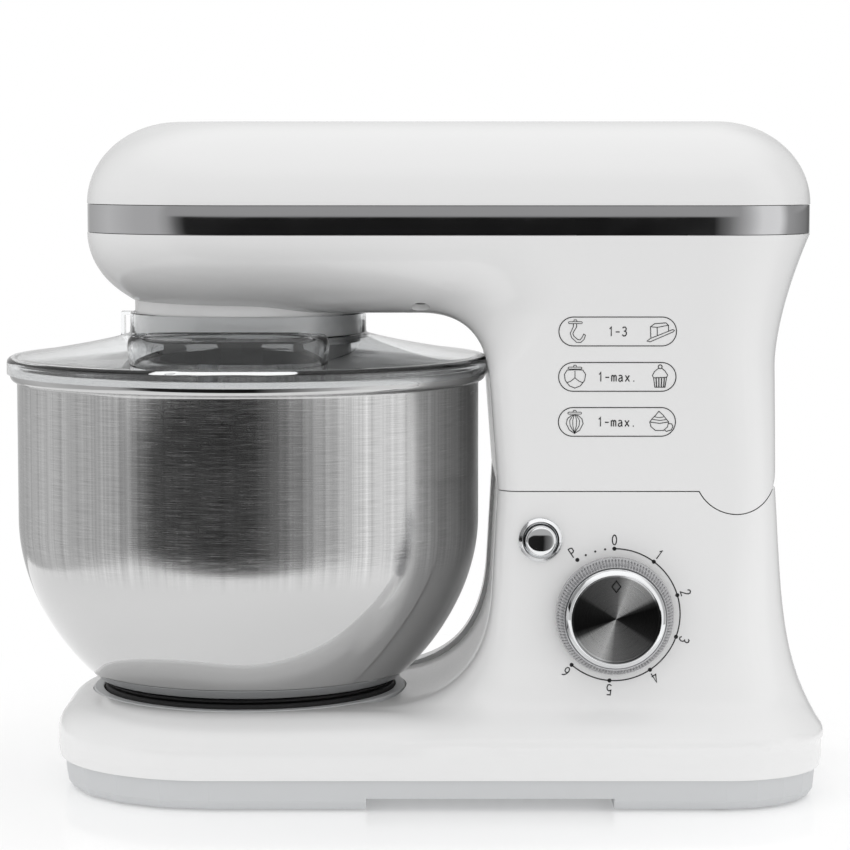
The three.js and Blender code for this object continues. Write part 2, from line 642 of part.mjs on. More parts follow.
// ---------------------------------------------------------------- assembly
const LOOKS = {
  white: { color: 0xf2f3f4, roughness: 0.25, metalness: 0 },
  cover: { color: 0xdfe1e3, roughness: 0.4, metalness: 0 },
  chrome: { color: 0x9a9c9e, roughness: 0.08, metalness: 1 },
  brushed: { color: 0xb9bbbd, roughness: 0.3, metalness: 1 },
  darkMetal: { color: 0x4a4b4d, roughness: 0.3, metalness: 1 },
  steel: { color: 0x8d9094, roughness: 0.4, metalness: 1 },
  copper: { color: 0xa4582c, roughness: 0.4, metalness: 1 },
  nylon: { color: 0xe9e6da, roughness: 0.6, metalness: 0 },
  black: { color: 0x1a1a1b, roughness: 0.7, metalness: 0 },
  board: { color: 0x2e6b3f, roughness: 0.6, metalness: 0 },
  alloy: { color: 0xc4c6c8, roughness: 0.45, metalness: 1 },
  clear: { color: 0xdfe5e8, roughness: 0.05, metalness: 0, transparent: true, opacity: 0.35 },
  grip: { color: 0xa9abad, roughness: 0.15, metalness: 0.4 },
};

const mixer = new THREE.Group();

function addPart(name, made, look) {
  const mesh = made.getMesh();
  const geometry = new THREE.BufferGeometry();
  geometry.setAttribute('position', new THREE.BufferAttribute(mesh.vertProperties, 3));
  geometry.setIndex(new THREE.BufferAttribute(mesh.triVerts, 1));
  geometry.computeVertexNormals();
  const part = new THREE.Mesh(geometry, new THREE.MeshStandardMaterial(LOOKS[look]));
  part.name = name;
  mixer.add(part);
}

function addBase() {
  addPart('base_housing', baseHousing(), 'white');
  addPart('base_bottom_cover', baseBottomCover(), 'cover');
  FOOT_SPOTS.forEach(([x, y], i) => addPart(`suction_foot_${i + 1}`, suctionFoot(x, y), 'black'));
  SCREW_SPOTS.forEach(([x, y], i) => addPart(`cover_screw_${i + 1}`, coverScrew(x, y), 'steel'));
  addPart('bowl_socket_ring', bowlSocketRing(), 'cover');
  addPart('button_bezel', buttonBezel(), 'chrome');
  addPart('speed_switch', speedSwitch(), 'black');
  addPart('control_board', controlBoard(), 'board');
  addPart('hinge_bracket_left', hingeBracket(-1), 'steel');
  addPart('hinge_bracket_right', hingeBracket(1), 'steel');
  addPart('hinge_pin', hingePin(), 'steel');
  addPart('latch_pin', latchPin(), 'steel');
  addPart('cord_gland', cordGland(), 'black');
}

function addControls() {
  addPart('dial_grip', dialGrip(), 'grip');
  addPart('dial_rim', dialRim(), 'chrome');
  addPart('dial_face', dialFace(), 'darkMetal');
  addPart('dial_shaft', dialShaft(), 'steel');
  addPart('release_cap', releaseCap(), 'chrome');
  addPart('latch_lever', latchLever(), 'steel');
}

function addHead() {
  addPart('head_top_cover', headTopCover(), 'white');
  addPart('trim_band', trimBand(), 'chrome');
  addPart('head_housing', headHousing(), 'white');
  addPart('hub_housing', hubHousing(), 'white');
  addPart('chassis_plate', chassisPlate(), 'alloy');
  addPart('ring_gear', ringGear(), 'steel');
  addPart('carrier_bearing', carrierBearing(), 'steel');
  addPart('idler_axle', gearAxle(IDLER_X, 270.4), 'steel');
  addPart('pulley_axle', gearAxle(INPUT_X, 288), 'steel');
  addPart('drive_belt', driveBelt(), 'black');
  addPart('field_core', fieldCore(), 'steel');
  addPart('field_coil_left', fieldCoil(-1), 'copper');
  addPart('field_coil_right', fieldCoil(1), 'copper');
  addPart('motor_plate_lower', motorPlate(184, 8), 'alloy');
  addPart('motor_plate_upper', motorPlate(254, 8), 'alloy');
  addPart('brush_ring', brushRing(), 'black');
  addPart('hinge_lug_left', hingeLug(-1), 'alloy');
  addPart('hinge_lug_right', hingeLug(1), 'alloy');
  addPart('latch_catch', latchCatch(), 'steel');
}

function addDrive() {
  addPart('motor_shaft', motorShaft(), 'steel');
  addPart('armature', armature(), 'steel');
  addPart('commutator', commutator(), 'copper');
  addPart('fan_wheel', fanWheel(), 'black');
  addPart('small_pulley', smallPulley(), 'alloy');
  addPart('large_pulley', largePulley(), 'nylon');
  addPart('idler_gear', idlerGear(), 'nylon');
  addPart('planet_carrier', planetCarrier(), 'black');
  addPart('main_gear', mainGear(), 'nylon');
  addPart('planet_pinion', planetPinion(), 'steel');
  addPart('tool_shaft', toolShaft(), 'steel');
  addPart('flat_beater', flatBeater(), 'alloy');
}

function addBowlAndLid() {
  addPart('mixing_bowl', mixingBowl(), 'brushed');
  addPart('bowl_foot', bowlFoot(), 'black');
  addPart('splash_lid', splashLid(), 'clear');
}

addBase();
addControls();
addHead();
addDrive();
addBowlAndLid();

export default mixer;
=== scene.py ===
"""The stand mixer's visible surfaces and materials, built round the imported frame."""
import json
import math

import bmesh
import bpy
import numpy as np
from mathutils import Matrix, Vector
from mathutils.bvhtree import BVHTree

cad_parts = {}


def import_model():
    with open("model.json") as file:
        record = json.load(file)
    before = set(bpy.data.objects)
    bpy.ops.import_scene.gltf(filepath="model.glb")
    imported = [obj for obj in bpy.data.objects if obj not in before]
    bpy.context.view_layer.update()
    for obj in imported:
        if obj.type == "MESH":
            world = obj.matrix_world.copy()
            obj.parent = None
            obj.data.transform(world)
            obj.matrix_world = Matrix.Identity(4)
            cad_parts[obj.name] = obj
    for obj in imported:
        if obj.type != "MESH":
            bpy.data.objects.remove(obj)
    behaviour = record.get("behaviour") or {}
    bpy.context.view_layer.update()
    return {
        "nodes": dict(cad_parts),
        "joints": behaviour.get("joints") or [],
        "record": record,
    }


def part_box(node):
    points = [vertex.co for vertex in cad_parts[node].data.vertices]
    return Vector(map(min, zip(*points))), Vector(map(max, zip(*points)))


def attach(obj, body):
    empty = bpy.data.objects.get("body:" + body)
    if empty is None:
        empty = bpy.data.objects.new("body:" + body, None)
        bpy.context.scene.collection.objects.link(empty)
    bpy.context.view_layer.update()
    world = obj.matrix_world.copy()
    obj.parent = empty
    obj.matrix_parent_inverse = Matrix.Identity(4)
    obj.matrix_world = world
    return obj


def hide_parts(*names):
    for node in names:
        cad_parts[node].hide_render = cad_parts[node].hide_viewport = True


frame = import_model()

# ---- sizes, in millimetres
MM = 0.001
GAP = 0.3  # clearance between pieces that touch
WALL = 2.5  # thickness of a moulded wall


def box_mm(node):
    low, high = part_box(node)
    return np.array(low) / MM, np.array(high) / MM


def joint_mm(name):
    joint = next(j for j in frame["joints"] if j["name"] == name)
    return np.array(joint["pos_m"]) / MM


COVER_LOW, COVER_HIGH = box_mm("head_top_cover")
BAND_LOW, BAND_HIGH = box_mm("trim_band")
HEAD_LOW, HEAD_HIGH = box_mm("head_housing")
BASE_LOW, BASE_HIGH = box_mm("base_housing")
BOWL_LOW, BOWL_HIGH = box_mm("mixing_bowl")
FOOT_LOW, FOOT_HIGH = box_mm("bowl_foot")
LID_HIGH = box_mm("splash_lid")[1]
HUB_LOW, HUB_HIGH = box_mm("hub_housing")
GRIP_LOW, GRIP_HIGH = box_mm("dial_grip")
RIM_LOW, RIM_HIGH = box_mm("dial_rim")
FACE_LOW, FACE_HIGH = box_mm("dial_face")
BEZEL_LOW, BEZEL_HIGH = box_mm("button_bezel")
CAP_LOW, CAP_HIGH = box_mm("release_cap")

HINGE = joint_mm("head_tilt")
LOBE = HINGE[2] - HEAD_LOW[2]
BOWL_X = joint_mm("planet_spin")[0]
BOWL_AXIS = (BOWL_X, 0, 0)
DIAL = joint_mm("speed_dial")
BUTTON = (BEZEL_LOW + BEZEL_HIGH) / 2

SEAM_Z = BASE_HIGH[2] + GAP
BAND_Z = BAND_LOW[2] - GAP
BELLY_Z = 229  # underside of the head
DECK_Z = 44  # top of the base under the bowl
HEAD_HALF = HEAD_HIGH[1]
HEAD_FRONT, HEAD_REAR = HEAD_HALF - 0.5, 50  # corner radii of the head seen from above
BASE_HALF = BASE_HIGH[1]
BASE_FRONT, BASE_REAR = 78, 49  # corner radii of the base
COLUMN = {"front": 41.3, "rear": 172.4, "half": 76, "edge": 10, "corner": 22}
UPPER_LEAN, LOWER_LEAN = 0.075, 0.055  # how the column's front leans back above and below the seam
COVER_ROLL, BELLY_ROLL = 44, 45  # how far the head's edges roll in
BELLY_SWEEP = 30  # the curve from the belly down into the column
RAMP_SWEEP = 55  # the curve from the column down onto the deck
DECK_ROLL, DECK_DROP = 22, 17  # the deck's rolled edge, across and down
DECK_FILLET = 7  # where the column meets the deck

GRID = 2.2  # spacing of the points on the moulded shells


# ---- mesh helpers
def new_object(name, verts, faces, smooth=True, angle=32):
    """A mesh object from points in millimetres."""
    mesh = bpy.data.meshes.new(name)
    mesh.from_pydata((np.asarray(verts, float) * MM).tolist(), [], [list(f) for f in faces])
    obj = bpy.data.objects.new(name, mesh)
    bpy.context.scene.collection.objects.link(obj)
    if smooth:
        shade(obj, angle)
    return obj


def shade(obj, angle=32):
    obj.data.shade_smooth()
    obj.data.set_sharp_from_angle(angle=math.radians(angle))


def outward(obj, weld=False):
    """Turns every face outward; weld first joins the points that fall together."""
    made = bmesh.new()
    made.from_mesh(obj.data)
    if weld:
        bmesh.ops.remove_doubles(made, verts=made.verts, dist=1e-7)
        bmesh.ops.dissolve_degenerate(made, edges=made.edges, dist=1e-8)
    bmesh.ops.recalc_face_normals(made, faces=made.faces)
    made.to_mesh(obj.data)
    made.free()
    return obj


def baked(obj):
    """Applies the modifiers of obj to its mesh."""
    graph = bpy.context.evaluated_depsgraph_get()
    mesh = bpy.data.meshes.new_from_object(obj.evaluated_get(graph))
    obj.modifiers.clear()
    old = obj.data
    obj.data = mesh
    bpy.data.meshes.remove(old)
    return obj


def carve(obj, cutter, operation="DIFFERENCE"):
    modifier = obj.modifiers.new("carve", "BOOLEAN")
    modifier.operation = operation
    modifier.solver = "MANIFOLD"
    modifier.object = cutter
    baked(obj)
    bpy.data.objects.remove(cutter)
    return obj


def bevelled(obj, width):
    modifier = obj.modifiers.new("bevel", "BEVEL")
    modifier.width = width * MM
    modifier.segments = 2
    modifier.limit_method = "ANGLE"
    modifier.angle_limit = math.radians(40)
    return baked(obj)


def block(x0, x1, y0, y1, z0, z1):
    verts = [(x, y, z) for x in (x0, x1) for y in (y0, y1) for z in (z0, z1)]
    faces = [(0, 1, 3, 2), (4, 6, 7, 5), (0, 4, 5, 1), (2, 3, 7, 6), (0, 2, 6, 4), (1, 5, 7, 3)]
    return new_object("block", verts, faces, smooth=False)


def layer(z0, z1):
    """Everything between two heights, for keeping or cutting away a part of a shell."""
    return block(-400, 400, -200, 200, z0, z1)


def prism(outline, axis, start, end):
    """A closed prism: outline points on the two axes after `axis` in x, y, z order, cyclic."""
    count = len(outline)
    first, second = (axis + 1) % 3, (axis + 2) % 3
    verts = np.zeros((2 * count, 3))
    verts[:, axis] = [start] * count + [end] * count
    verts[:, first] = [p[0] for p in outline] * 2
    verts[:, second] = [p[1] for p in outline] * 2
    sides = [(i, (i + 1) % count, count + (i + 1) % count, count + i) for i in range(count)]
    caps = [tuple(reversed(range(count))), tuple(range(count, 2 * count))]
    return outward(new_object("prism", verts, sides + caps, smooth=False))


def circle(u, v, radius, count=96):
    turn = np.linspace(0, 2 * math.pi, count, endpoint=False)
    return list(zip(u + radius * np.cos(turn), v + radius * np.sin(turn)))


def drum(axis, start, end, u, v, radius, count=96):
    return prism(circle(u, v, radius, count), axis, start, end)


def wrapped(pairs, count):
    """Quads that join each pair of rows, where every row is a ring of count points."""
    faces = []
    for i, j in pairs:
        for k in range(count):
            n = (k + 1) % count
            faces.append((i * count + k, i * count + n, j * count + n, j * count + k))
    return faces


def revolve(name, profile, centre, axis="z", count=128, angle=32):
    """Turns a closed profile of (radius, height) about an axis through centre."""
    turn = np.linspace(0, 2 * math.pi, count, endpoint=False)
    verts = []
    for radius, height in profile:
        for a in turn:
            u, v = radius * math.cos(a), radius * math.sin(a)
            local = (u, v, height) if axis == "z" else (u, -height, v)
            verts.append(np.add(centre, local))
    rows = [(i, (i + 1) % len(profile)) for i in range(len(profile))]
    off_axis = [(i, j) for i, j in rows if max(profile[i][0], profile[j][0]) >= 1e-6]
    obj = outward(new_object(name, verts, wrapped(off_axis, count), smooth=False), weld=True)
    shade(obj, angle)
    return obj


# ---- surfaces from fields
def clip01(value):
    return np.clip(value, 0.0, 1.0)


def blend01(value, low, high):
    t = clip01((value - low) / (high - low))
    return t * t * (3 - 2 * t)


def mix(a, b, t):
    return a + (b - a) * t


def joined_depth(a, b, sweep):
    """Depth inside the union of two regions, with a fillet of about that sweep in their corner."""
    h = clip01(0.5 + 0.5 * (a - b) / sweep)
    return b + (a - b) * h + sweep * h * (1 - h)


def plan_depth(x, y, x0, x1, half, front, rear):
    """Depth inside a rounded plan outline, negative outside it."""
    middle = (x0 + x1) / 2
    corner = np.where(x < middle, front, rear)
    qx = np.abs(x - middle) - (x1 - x0) / 2 + corner
    qy = np.abs(y) - half + corner
    outside = np.hypot(np.maximum(qx, 0), np.maximum(qy, 0))
    return corner - outside - np.minimum(np.maximum(qx, qy), 0)


def rolled(side, level, roll, drop):
    """A field that is negative inside, its edge rolled over an ellipse of roll by drop."""
    u = np.maximum(1 - side / roll, 0)
    v = np.maximum(1 - level / drop, 0)
    return (np.hypot(u, v) - 1) * (roll + drop) / 2


def surface(name, field, low, high, step, inset=0.0):
    """The zero surface of a field, as a quad mesh whose points are moved exactly onto it."""
    axes = [np.arange(l, h + step, step) for l, h in zip(low, high)]
    grid = np.meshgrid(*axes, indexing="ij")
    value = field(*grid) + inset
    inside = value < 0
    cells = tuple(n - 1 for n in inside.shape)
    corners = [(i, j, k) for i in (0, 1) for j in (0, 1) for k in (0, 1)]

    def at(array, c):
        return array[c[0]:c[0] + cells[0], c[1]:c[1] + cells[1], c[2]:c[2] + cells[2]]

    count = sum(at(inside, c).astype(np.int8) for c in corners)
    active = (count > 0) & (count < 8)
    index = np.full(cells, -1)
    index[active] = np.arange(active.sum())
    place = np.argwhere(active)
    total, hits = np.zeros((len(place), 3)), np.zeros(len(place))
    for c in corners:
        for d in corners:
            if sum(d) == sum(c) + 1 and all(q >= p for p, q in zip(c, d)):
                va, vb = at(value, c)[active], at(value, d)[active]
                cross = (va < 0) != (vb < 0)
                t = va[cross] / (va[cross] - vb[cross])
                total[cross] += np.array(c) + t[:, None] * (np.array(d) - np.array(c))
                hits[cross] += 1
    points = np.array(low) + (place + total / hits[:, None]) * step
    for _ in range(4):
        points -= toward(field, points, inset, step)
    return new_object(name, points, net_faces(inside, index))


def toward(field, points, inset, limit):
    """The step from each point to the zero surface, along the field's slope."""
    here = field(*points.T) + inset
    slope = np.zeros_like(points)
    for axis in range(3):
        shift = np.zeros(3)
        shift[axis] = 0.02
        slope[:, axis] = (field(*(points + shift).T) - field(*(points - shift).T)) / 0.04
    size = np.maximum((slope ** 2).sum(1), 1e-6)
    move = slope * (here / size)[:, None]
    length = np.linalg.norm(move, axis=1)
    return move * np.minimum(1, 0.5 * limit / np.maximum(length, 1e-9))[:, None]


def net_faces(inside, index):
    """One quad round every grid edge that crosses the surface."""
    faces = []
    for axis in range(3):
        u, v = (axis + 1) % 3, (axis + 2) % 3
        start = [slice(1, -1)] * 3
        start[axis] = slice(0, -1)
        end = list(start)
        end[axis] = slice(1, None)
        a, b = inside[tuple(start)], inside[tuple(end)]
        where = np.argwhere(a != b)
        flip = a[tuple(where.T)]
        where[:, u] += 1
        where[:, v] += 1
        ring = []
        for du, dv in ((-1, -1), (0, -1), (0, 0), (-1, 0)):
            cell = where.copy()
            cell[:, u] += du
            cell[:, v] += dv
            ring.append(index[tuple(cell.T)])
        quads = np.stack(ring, 1)
        quads[~flip] = quads[~flip][:, ::-1]
        faces.append(quads)
    return np.concatenate(faces)


# ---- head shells
def cover_field(x, y, z):
    side = plan_depth(x, y, COVER_LOW[0], COVER_HIGH[0], HEAD_HALF, HEAD_FRONT, HEAD_REAR)
    top = COVER_HIGH[2] + 0.1 - z
    field = rolled(side, top, COVER_ROLL, COVER_HIGH[2] - COVER_LOW[2])
    return np.maximum(field, COVER_LOW[2] - 8 - z)


def shell(name, field, low, high):
    """A hollow moulding: the field's surface, less the same surface pulled in by the wall."""
    outer = surface(name, field, low, high, GRID)
    inner = surface("inner", field, low, high, 2 * GRID, WALL)
    return carve(outer, inner)


def head_top_cover():
    low, high = COVER_LOW - [6, 6, 14], COVER_HIGH + 6
    made = shell("head_cover_shell", cover_field, low, high)
    carve(made, layer(COVER_LOW[2], 400), "INTERSECT")
    shade(made)
    return made


def head_field(x, y, z):
    flare = clip01((z - 205) / (BAND_Z - 205)) ** 1.6
    widen = clip01((z - SEAM_Z) / (BAND_Z - SEAM_Z))
    side = plan_depth(
        x, y, HEAD_LOW[0], mix(COLUMN["rear"], HEAD_HIGH[0], flare),
        mix(COLUMN["half"], HEAD_HALF, widen * widen * (3 - 2 * widen)),
        HEAD_FRONT, mix(COLUMN["corner"], HEAD_REAR, widen ** 1.5))
    front = COLUMN["front"] - UPPER_LEAN * (z - SEAM_Z)
    level = joined_depth(z - BELLY_Z, x - front, BELLY_SWEEP)
    t = blend01(z, 196, 238)
    roll = mix(COLUMN["edge"], BELLY_ROLL, t)
    drop = mix(COLUMN["edge"], BAND_Z - BELLY_Z, t)
    return np.maximum(rolled(side, level, roll, drop), np.maximum(z - BAND_Z - 8, 126 - z))


def head_housing():
    low = [HEAD_LOW[0] - 6, -HEAD_HALF - 6, 120]
    high = [HEAD_HIGH[0] + 6, HEAD_HALF + 6, BAND_Z + 14]
    made = shell("head_housing_shell", head_field, low, high)
    carve(made, layer(60, BAND_Z), "INTERSECT")
    cut = layer(60, SEAM_Z)
    rear_edge = block(HINGE[0], 260, -200, 200, 90, HINGE[2] + 3)
    carve(cut, rear_edge, "UNION")
    carve(cut, drum(1, -150, 150, HINGE[2], HINGE[0], LOBE, 160))
    carve(made, cut)
    carve(made, drum(2, 190, 252, BOWL_X, 0, HUB_HIGH[1] + GAP, 160))
    carve(made, drum(2, 120, 216, BOWL_X, 0, LID_HIGH[1] + 1.2, 256))
    carve_vents(made)
    for side in (-1, 1):
        carve(made, drum(2, 200, 238, 5, 54 * side, 4.4, 40))
    shade(made)
    return made


def carve_vents(made):
    """Six upright slots with round ends through the back of the head."""
    radius, middle, half = 2.2, 244, 12
    for y in (-30, -18, -6, 6, 18, 30):
        slot = [(y + radius * math.cos(a), middle + half * np.sign(math.sin(a)) + radius * math.sin(a))
                for a in np.linspace(0.01, 2 * math.pi, 24, endpoint=False)]
        carve(made, prism(slot, 0, 150, 200))


def trim_band():
    x0, x1, half, thick = BAND_LOW[0], BAND_HIGH[0], BAND_HIGH[1], 3
    outer = plan_outline(x0, x1, half, half - 0.5, HEAD_REAR)
    inner = plan_outline(x0 + thick, x1 - thick, half - thick, half - 0.5 - thick, HEAD_REAR - thick)
    made = prism(outer, 2, BAND_LOW[2], BAND_HIGH[2])
    made.name = "trim_band_strip"
    carve(made, prism(inner, 2, BAND_LOW[2] - 5, BAND_HIGH[2] + 5))
    bevelled(made, 0.5)
    shade(made, 30)
    return made


def plan_outline(x0, x1, half, front, rear, steps=40):
    points = []
    corners = ((x1 - rear, half - rear, rear, 0), (x0 + front, half - front, front, 90),
               (x0 + front, front - half, front, 180), (x1 - rear, rear - half, rear, 270))
    for x, y, radius, start in corners:
        for a in np.radians(np.linspace(start, start + 90, steps)):
            points.append((x + radius * math.cos(a), y + radius * math.sin(a)))
    return points


# ---- base shells
def ramp_depth(x, z):
    """Depth under the deck and behind the column's front, with the ramp swept between them."""
    front = COLUMN["front"] - LOWER_LEAN * (SEAM_Z - z)
    return joined_depth(DECK_Z - z, x - front, RAMP_SWEEP)


def base_field(x, y, z):
    s = clip01((147 - z) / 113)
    column_side = plan_depth(
        x, y, BASE_LOW[0], mix(COLUMN["rear"], BASE_HIGH[0], 0.35 * s + 0.65 * s ** 4),
        mix(COLUMN["half"], BASE_HALF, 0.06 * s + 0.94 * s ** 8), BASE_FRONT,
        mix(COLUMN["corner"], BASE_REAR, s ** 1.5))
    t = blend01(-z, -92, -46)
    roll, drop = mix(COLUMN["edge"], DECK_ROLL, t), mix(COLUMN["edge"], DECK_DROP, t)
    column = np.maximum(rolled(column_side, ramp_depth(x, z), roll, drop), 32 - z)
    deck_side = plan_depth(x, y, BASE_LOW[0], BASE_HIGH[0], BASE_HALF, BASE_FRONT, BASE_REAR)
    tuck = np.maximum(20 - z, 0) * 0.2
    deck = rolled(deck_side - tuck, DECK_Z - z, DECK_ROLL, DECK_DROP)
    fillet = 0.01 + DECK_FILLET * clip01((x + 20) / 60) * clip01((np.abs(y) - 40) / 25)
    h = clip01(0.5 + 0.5 * (column - deck) / fillet)
    joined = column + (deck - column) * h - fillet * h * (1 - h)
    return np.maximum(joined, 4 - z)


def base_housing():
    low, high = [BASE_LOW[0] - 6, -BASE_HALF - 6, -6], [BASE_HIGH[0] + 6, BASE_HALF + 6, 166]

    def capped(x, y, z):
        return np.maximum(base_field(x, y, z), z - 156)

    made = shell("base_housing_shell", capped, low, high)
    carve(made, layer(BASE_LOW[2], SEAM_Z - 0.5), "INTERSECT")
    carve(made, drum(1, -150, 150, HINGE[2], HINGE[0], LOBE + 0.5, 160))
    carve(made, channel_cutter())
    carve(made, drum(2, 41, 60, BOWL_X, 0, 77, 200))
    carve(made, drum(1, -110, -60, DIAL[2], DIAL[0], 5, 48))
    carve(made, drum(1, -110, -60, BUTTON[2], BUTTON[0], CAP_HIGH[0] - BUTTON[0] + 0.8, 64))
    carve(made, drum(0, 178, 210, 40, 27, 8.3, 48))
    shade(made)
    return made


def channel_cutter():
    """What is cut away so that the ramp and column front lie a little below their rims."""
    width, depth = 52, 1.7
    slab = block(-27, 60, -width, width, 38, 170)

    def deeper(x, y, z):
        sides = np.maximum(np.abs(y) - 62, np.maximum(x - 80, -30 - x))
        return np.maximum(depth - ramp_depth(x, z), np.maximum(sides, np.maximum(30 - z, z - 180)))

    return carve(slab, surface("deeper", deeper, [-40, -70, 20], [90, 70, 190], 2 * GRID))


# ---- bowl, lid and hub
BOWL_SHEET = 1.1
BOWL_WALL = 112.3
BOWL_BEND = {"z": 127.3, "depth": 89.3, "floor": 54}  # where the upright wall turns under


def bowl_radius(z):
    """A deep round bottom that runs up into an upright wall."""
    depth = min(max((BOWL_BEND["z"] - z) / BOWL_BEND["depth"], 0), 1)
    return BOWL_BEND["floor"] + (BOWL_WALL - BOWL_BEND["floor"]) * (1 - depth ** 1.94) ** 0.75


def mixing_bowl():
    rim, bead, foot, bottom = BOWL_HIGH[2], BOWL_HIGH[1], FOOT_HIGH[1], BOWL_LOW[2]
    levels = BOWL_BEND["z"] - 80.3 * np.sin(np.linspace(math.pi / 2, 0, 48))
    outside = [(bowl_radius(z), z) for z in levels]
    inside = [(bowl_radius(z + 0.3) - BOWL_SHEET, z) for z in levels[::-2] if z > 50]
    bead_round = [(bead - 2.6 + 2.6 * math.sin(a), rim - 3.4 - 3.4 * math.cos(a))
                  for a in np.linspace(0.35, math.pi, 14)]
    profile = [
        (0, bottom), (foot - 3, bottom), *outside, (BOWL_WALL, 160), (BOWL_WALL, rim - 8.4),
        (BOWL_WALL + 0.5, rim - 7.2), *bead_round, (BOWL_WALL - 0.2, rim - 0.4),
        (BOWL_WALL - 0.9, rim - 1.6), (BOWL_WALL - BOWL_SHEET, rim - 4), (BOWL_WALL - BOWL_SHEET, 160),
        *inside, (foot - 6, 48.4), (0, 47.9)]
    return revolve("bowl_wall", profile, BOWL_AXIS, count=192)


def bowl_foot():
    """The black ring under the bowl, with its two bayonet lugs."""
    outer, low, high = FOOT_HIGH[1], FOOT_LOW[2], FOOT_HIGH[2]
    profile = [(62, high), (62, low + 0.4), (62.4, low), (outer - 0.9, low), (outer, low + 0.9),
               (outer, high - 0.5), (outer - 0.5, high)]
    made = revolve("bowl_foot_ring", profile, BOWL_AXIS, count=160)
    lug = block(FOOT_LOW[0], FOOT_HIGH[0], -7, 7, low + 0.3, low + 1.7)
    carve(lug, drum(2, 30, 60, BOWL_X, 0, 68, 64))
    carve(made, lug, "UNION")
    shade(made)
    return made


def hub_housing():
    """The white collar under the head that carries the drive, with its web and bearing seat."""
    outer, low, high, web = HUB_HIGH[1], HUB_LOW[2], HUB_HIGH[2], 224
    inner = outer - WALL
    profile = [
        (inner, high), (inner, web + 3), (12.3, web + 3), (12.3, web), (inner, web), (inner, low + 0.5),
        (inner + 0.5, low), (outer - 0.8, low), (outer - 0.2, low + 0.3), (outer, low + 0.9), (outer, high)]
    return revolve("hub_collar", profile, BOWL_AXIS, count=160)


def bowl_socket_ring():
    """The seat round the bowl's foot; its flange hides the foot's bayonet lugs."""
    low, high = box_mm("bowl_socket_ring")
    outer, inner, base, top, mouth = high[1], high[1] - 2.2, low[2], high[2], FOOT_HIGH[1] + 0.7
    profile = [(inner, base), (inner, top - 0.9), (mouth + 0.4, top - 0.9), (mouth, top - 0.6),
               (mouth, top - 0.2), (mouth + 0.3, top), (outer - 0.5, top), (outer, top - 0.5), (outer, base)]
    return revolve("bowl_seat_ring", profile, BOWL_AXIS, count=160)


def lid_top(radius):
    return 218.6 - 12.2 * max((radius - 56) / 58, 0) ** 0.72


def stadium(long, deep, x, y, arc=24):
    points = []
    for centre, start in (((long - deep) / 2, -90), (-(long - deep) / 2, 90)):
        for a in np.radians(np.linspace(start, start + 180, arc)):
            points.append((x + centre + deep / 2 * math.cos(a), y + deep / 2 * math.sin(a)))
    return points


CHUTE = {"x": -83, "y": -88, "long": 91, "deep": 42}
CHUTE_SIDE = (  # how far the filler's side stands out from its outline, at each height
    (-0.6, 180), (-0.6, 203), (0.2, 209), (0.8, 213), (0.9, 216), (0.7, 218.4), (0.3, 219.6), (-0.3, 220.6),
    (-1.0, 221.4))
CHUTE_BORE = (  # the same for the opening through it
    (-2.8, 170), (-2.8, 203), (-2.0, 209), (-1.4, 213), (-1.3, 216), (-1.4, 218.4), (-1.5, 219.6),
    (-1.4, 220.8), (-1.1, 221.6), (-1.1, 230))


def stadium_body(name, side):
    """A solid over the filler's stadium outline, grown or shrunk by side's (grow, z) pairs."""
    long, deep = CHUTE["long"], CHUTE["deep"]
    rows = [[(x, y, z) for x, y in stadium(long + 2 * grow, deep + 2 * grow, CHUTE["x"], CHUTE["y"], 40)]
            for grow, z in side]
    count, last = len(rows[0]), (len(rows) - 1) * len(rows[0])
    caps = [tuple(reversed(range(count))), tuple(range(last, last + count))]
    sides = wrapped([(i, i + 1) for i in range(len(rows) - 1)], count)
    return outward(new_object(name, [p for row in rows for p in row], caps + sides))


def splash_lid():
    outer, sheet = LID_HIGH[1], 1.5
    collar, bore, top = 57.4, HUB_HIGH[1] + 0.8, LID_HIGH[2]
    dome = [(r, lid_top(r)) for r in np.linspace(113.6, 60.2, 26)]
    under = [(r, z - sheet) for r, z in dome][::-1]
    profile = [
        (outer, 198.6), (outer, 203.6), (outer - 0.3, 205), (outer - 1.2, 206.1), (115, 206.6), *dome,
        (58.4, dome[-1][1] + 0.5), (57.6, dome[-1][1] + 1.4), (collar, 221), (collar, top - 0.5),
        (collar - 0.5, top), (bore + 0.4, top), (bore, top - 0.4), (bore, 218), (bore + 0.5, 217),
        *under, (outer - 1.6, 204.4), (outer - 1.3, 203), (outer - 1.3, 198.6)]
    made = revolve("lid_dome", profile, BOWL_AXIS, count=192)
    chute = stadium_body("chute", CHUTE_SIDE)
    inside_dome = [(0, 170), (150, 170), (150, lid_top(114) - 1.3),
                   *[(r, lid_top(r) - 0.8) for r in np.linspace(114, 58, 20)], (0, lid_top(58) - 0.8)]
    carve(chute, revolve("below", inside_dome, BOWL_AXIS, count=192))
    carve(made, chute, "UNION")
    carve(made, stadium_body("bore", CHUTE_BORE))
    tab = block(BOWL_X - 61.8, BOWL_X - 60.2, -5, 5, 216.4, top)
    carve(tab, block(BOWL_X - 61.8, BOWL_X - 56.2, -5, 5, 214.6, 216.4), "UNION")
    carve(tab, block(BOWL_X - 61.8, BOWL_X - 56.9, -5, 5, top - 1.6, top), "UNION")
    carve(made, tab, "UNION")
    shade(made, 34)
    return made


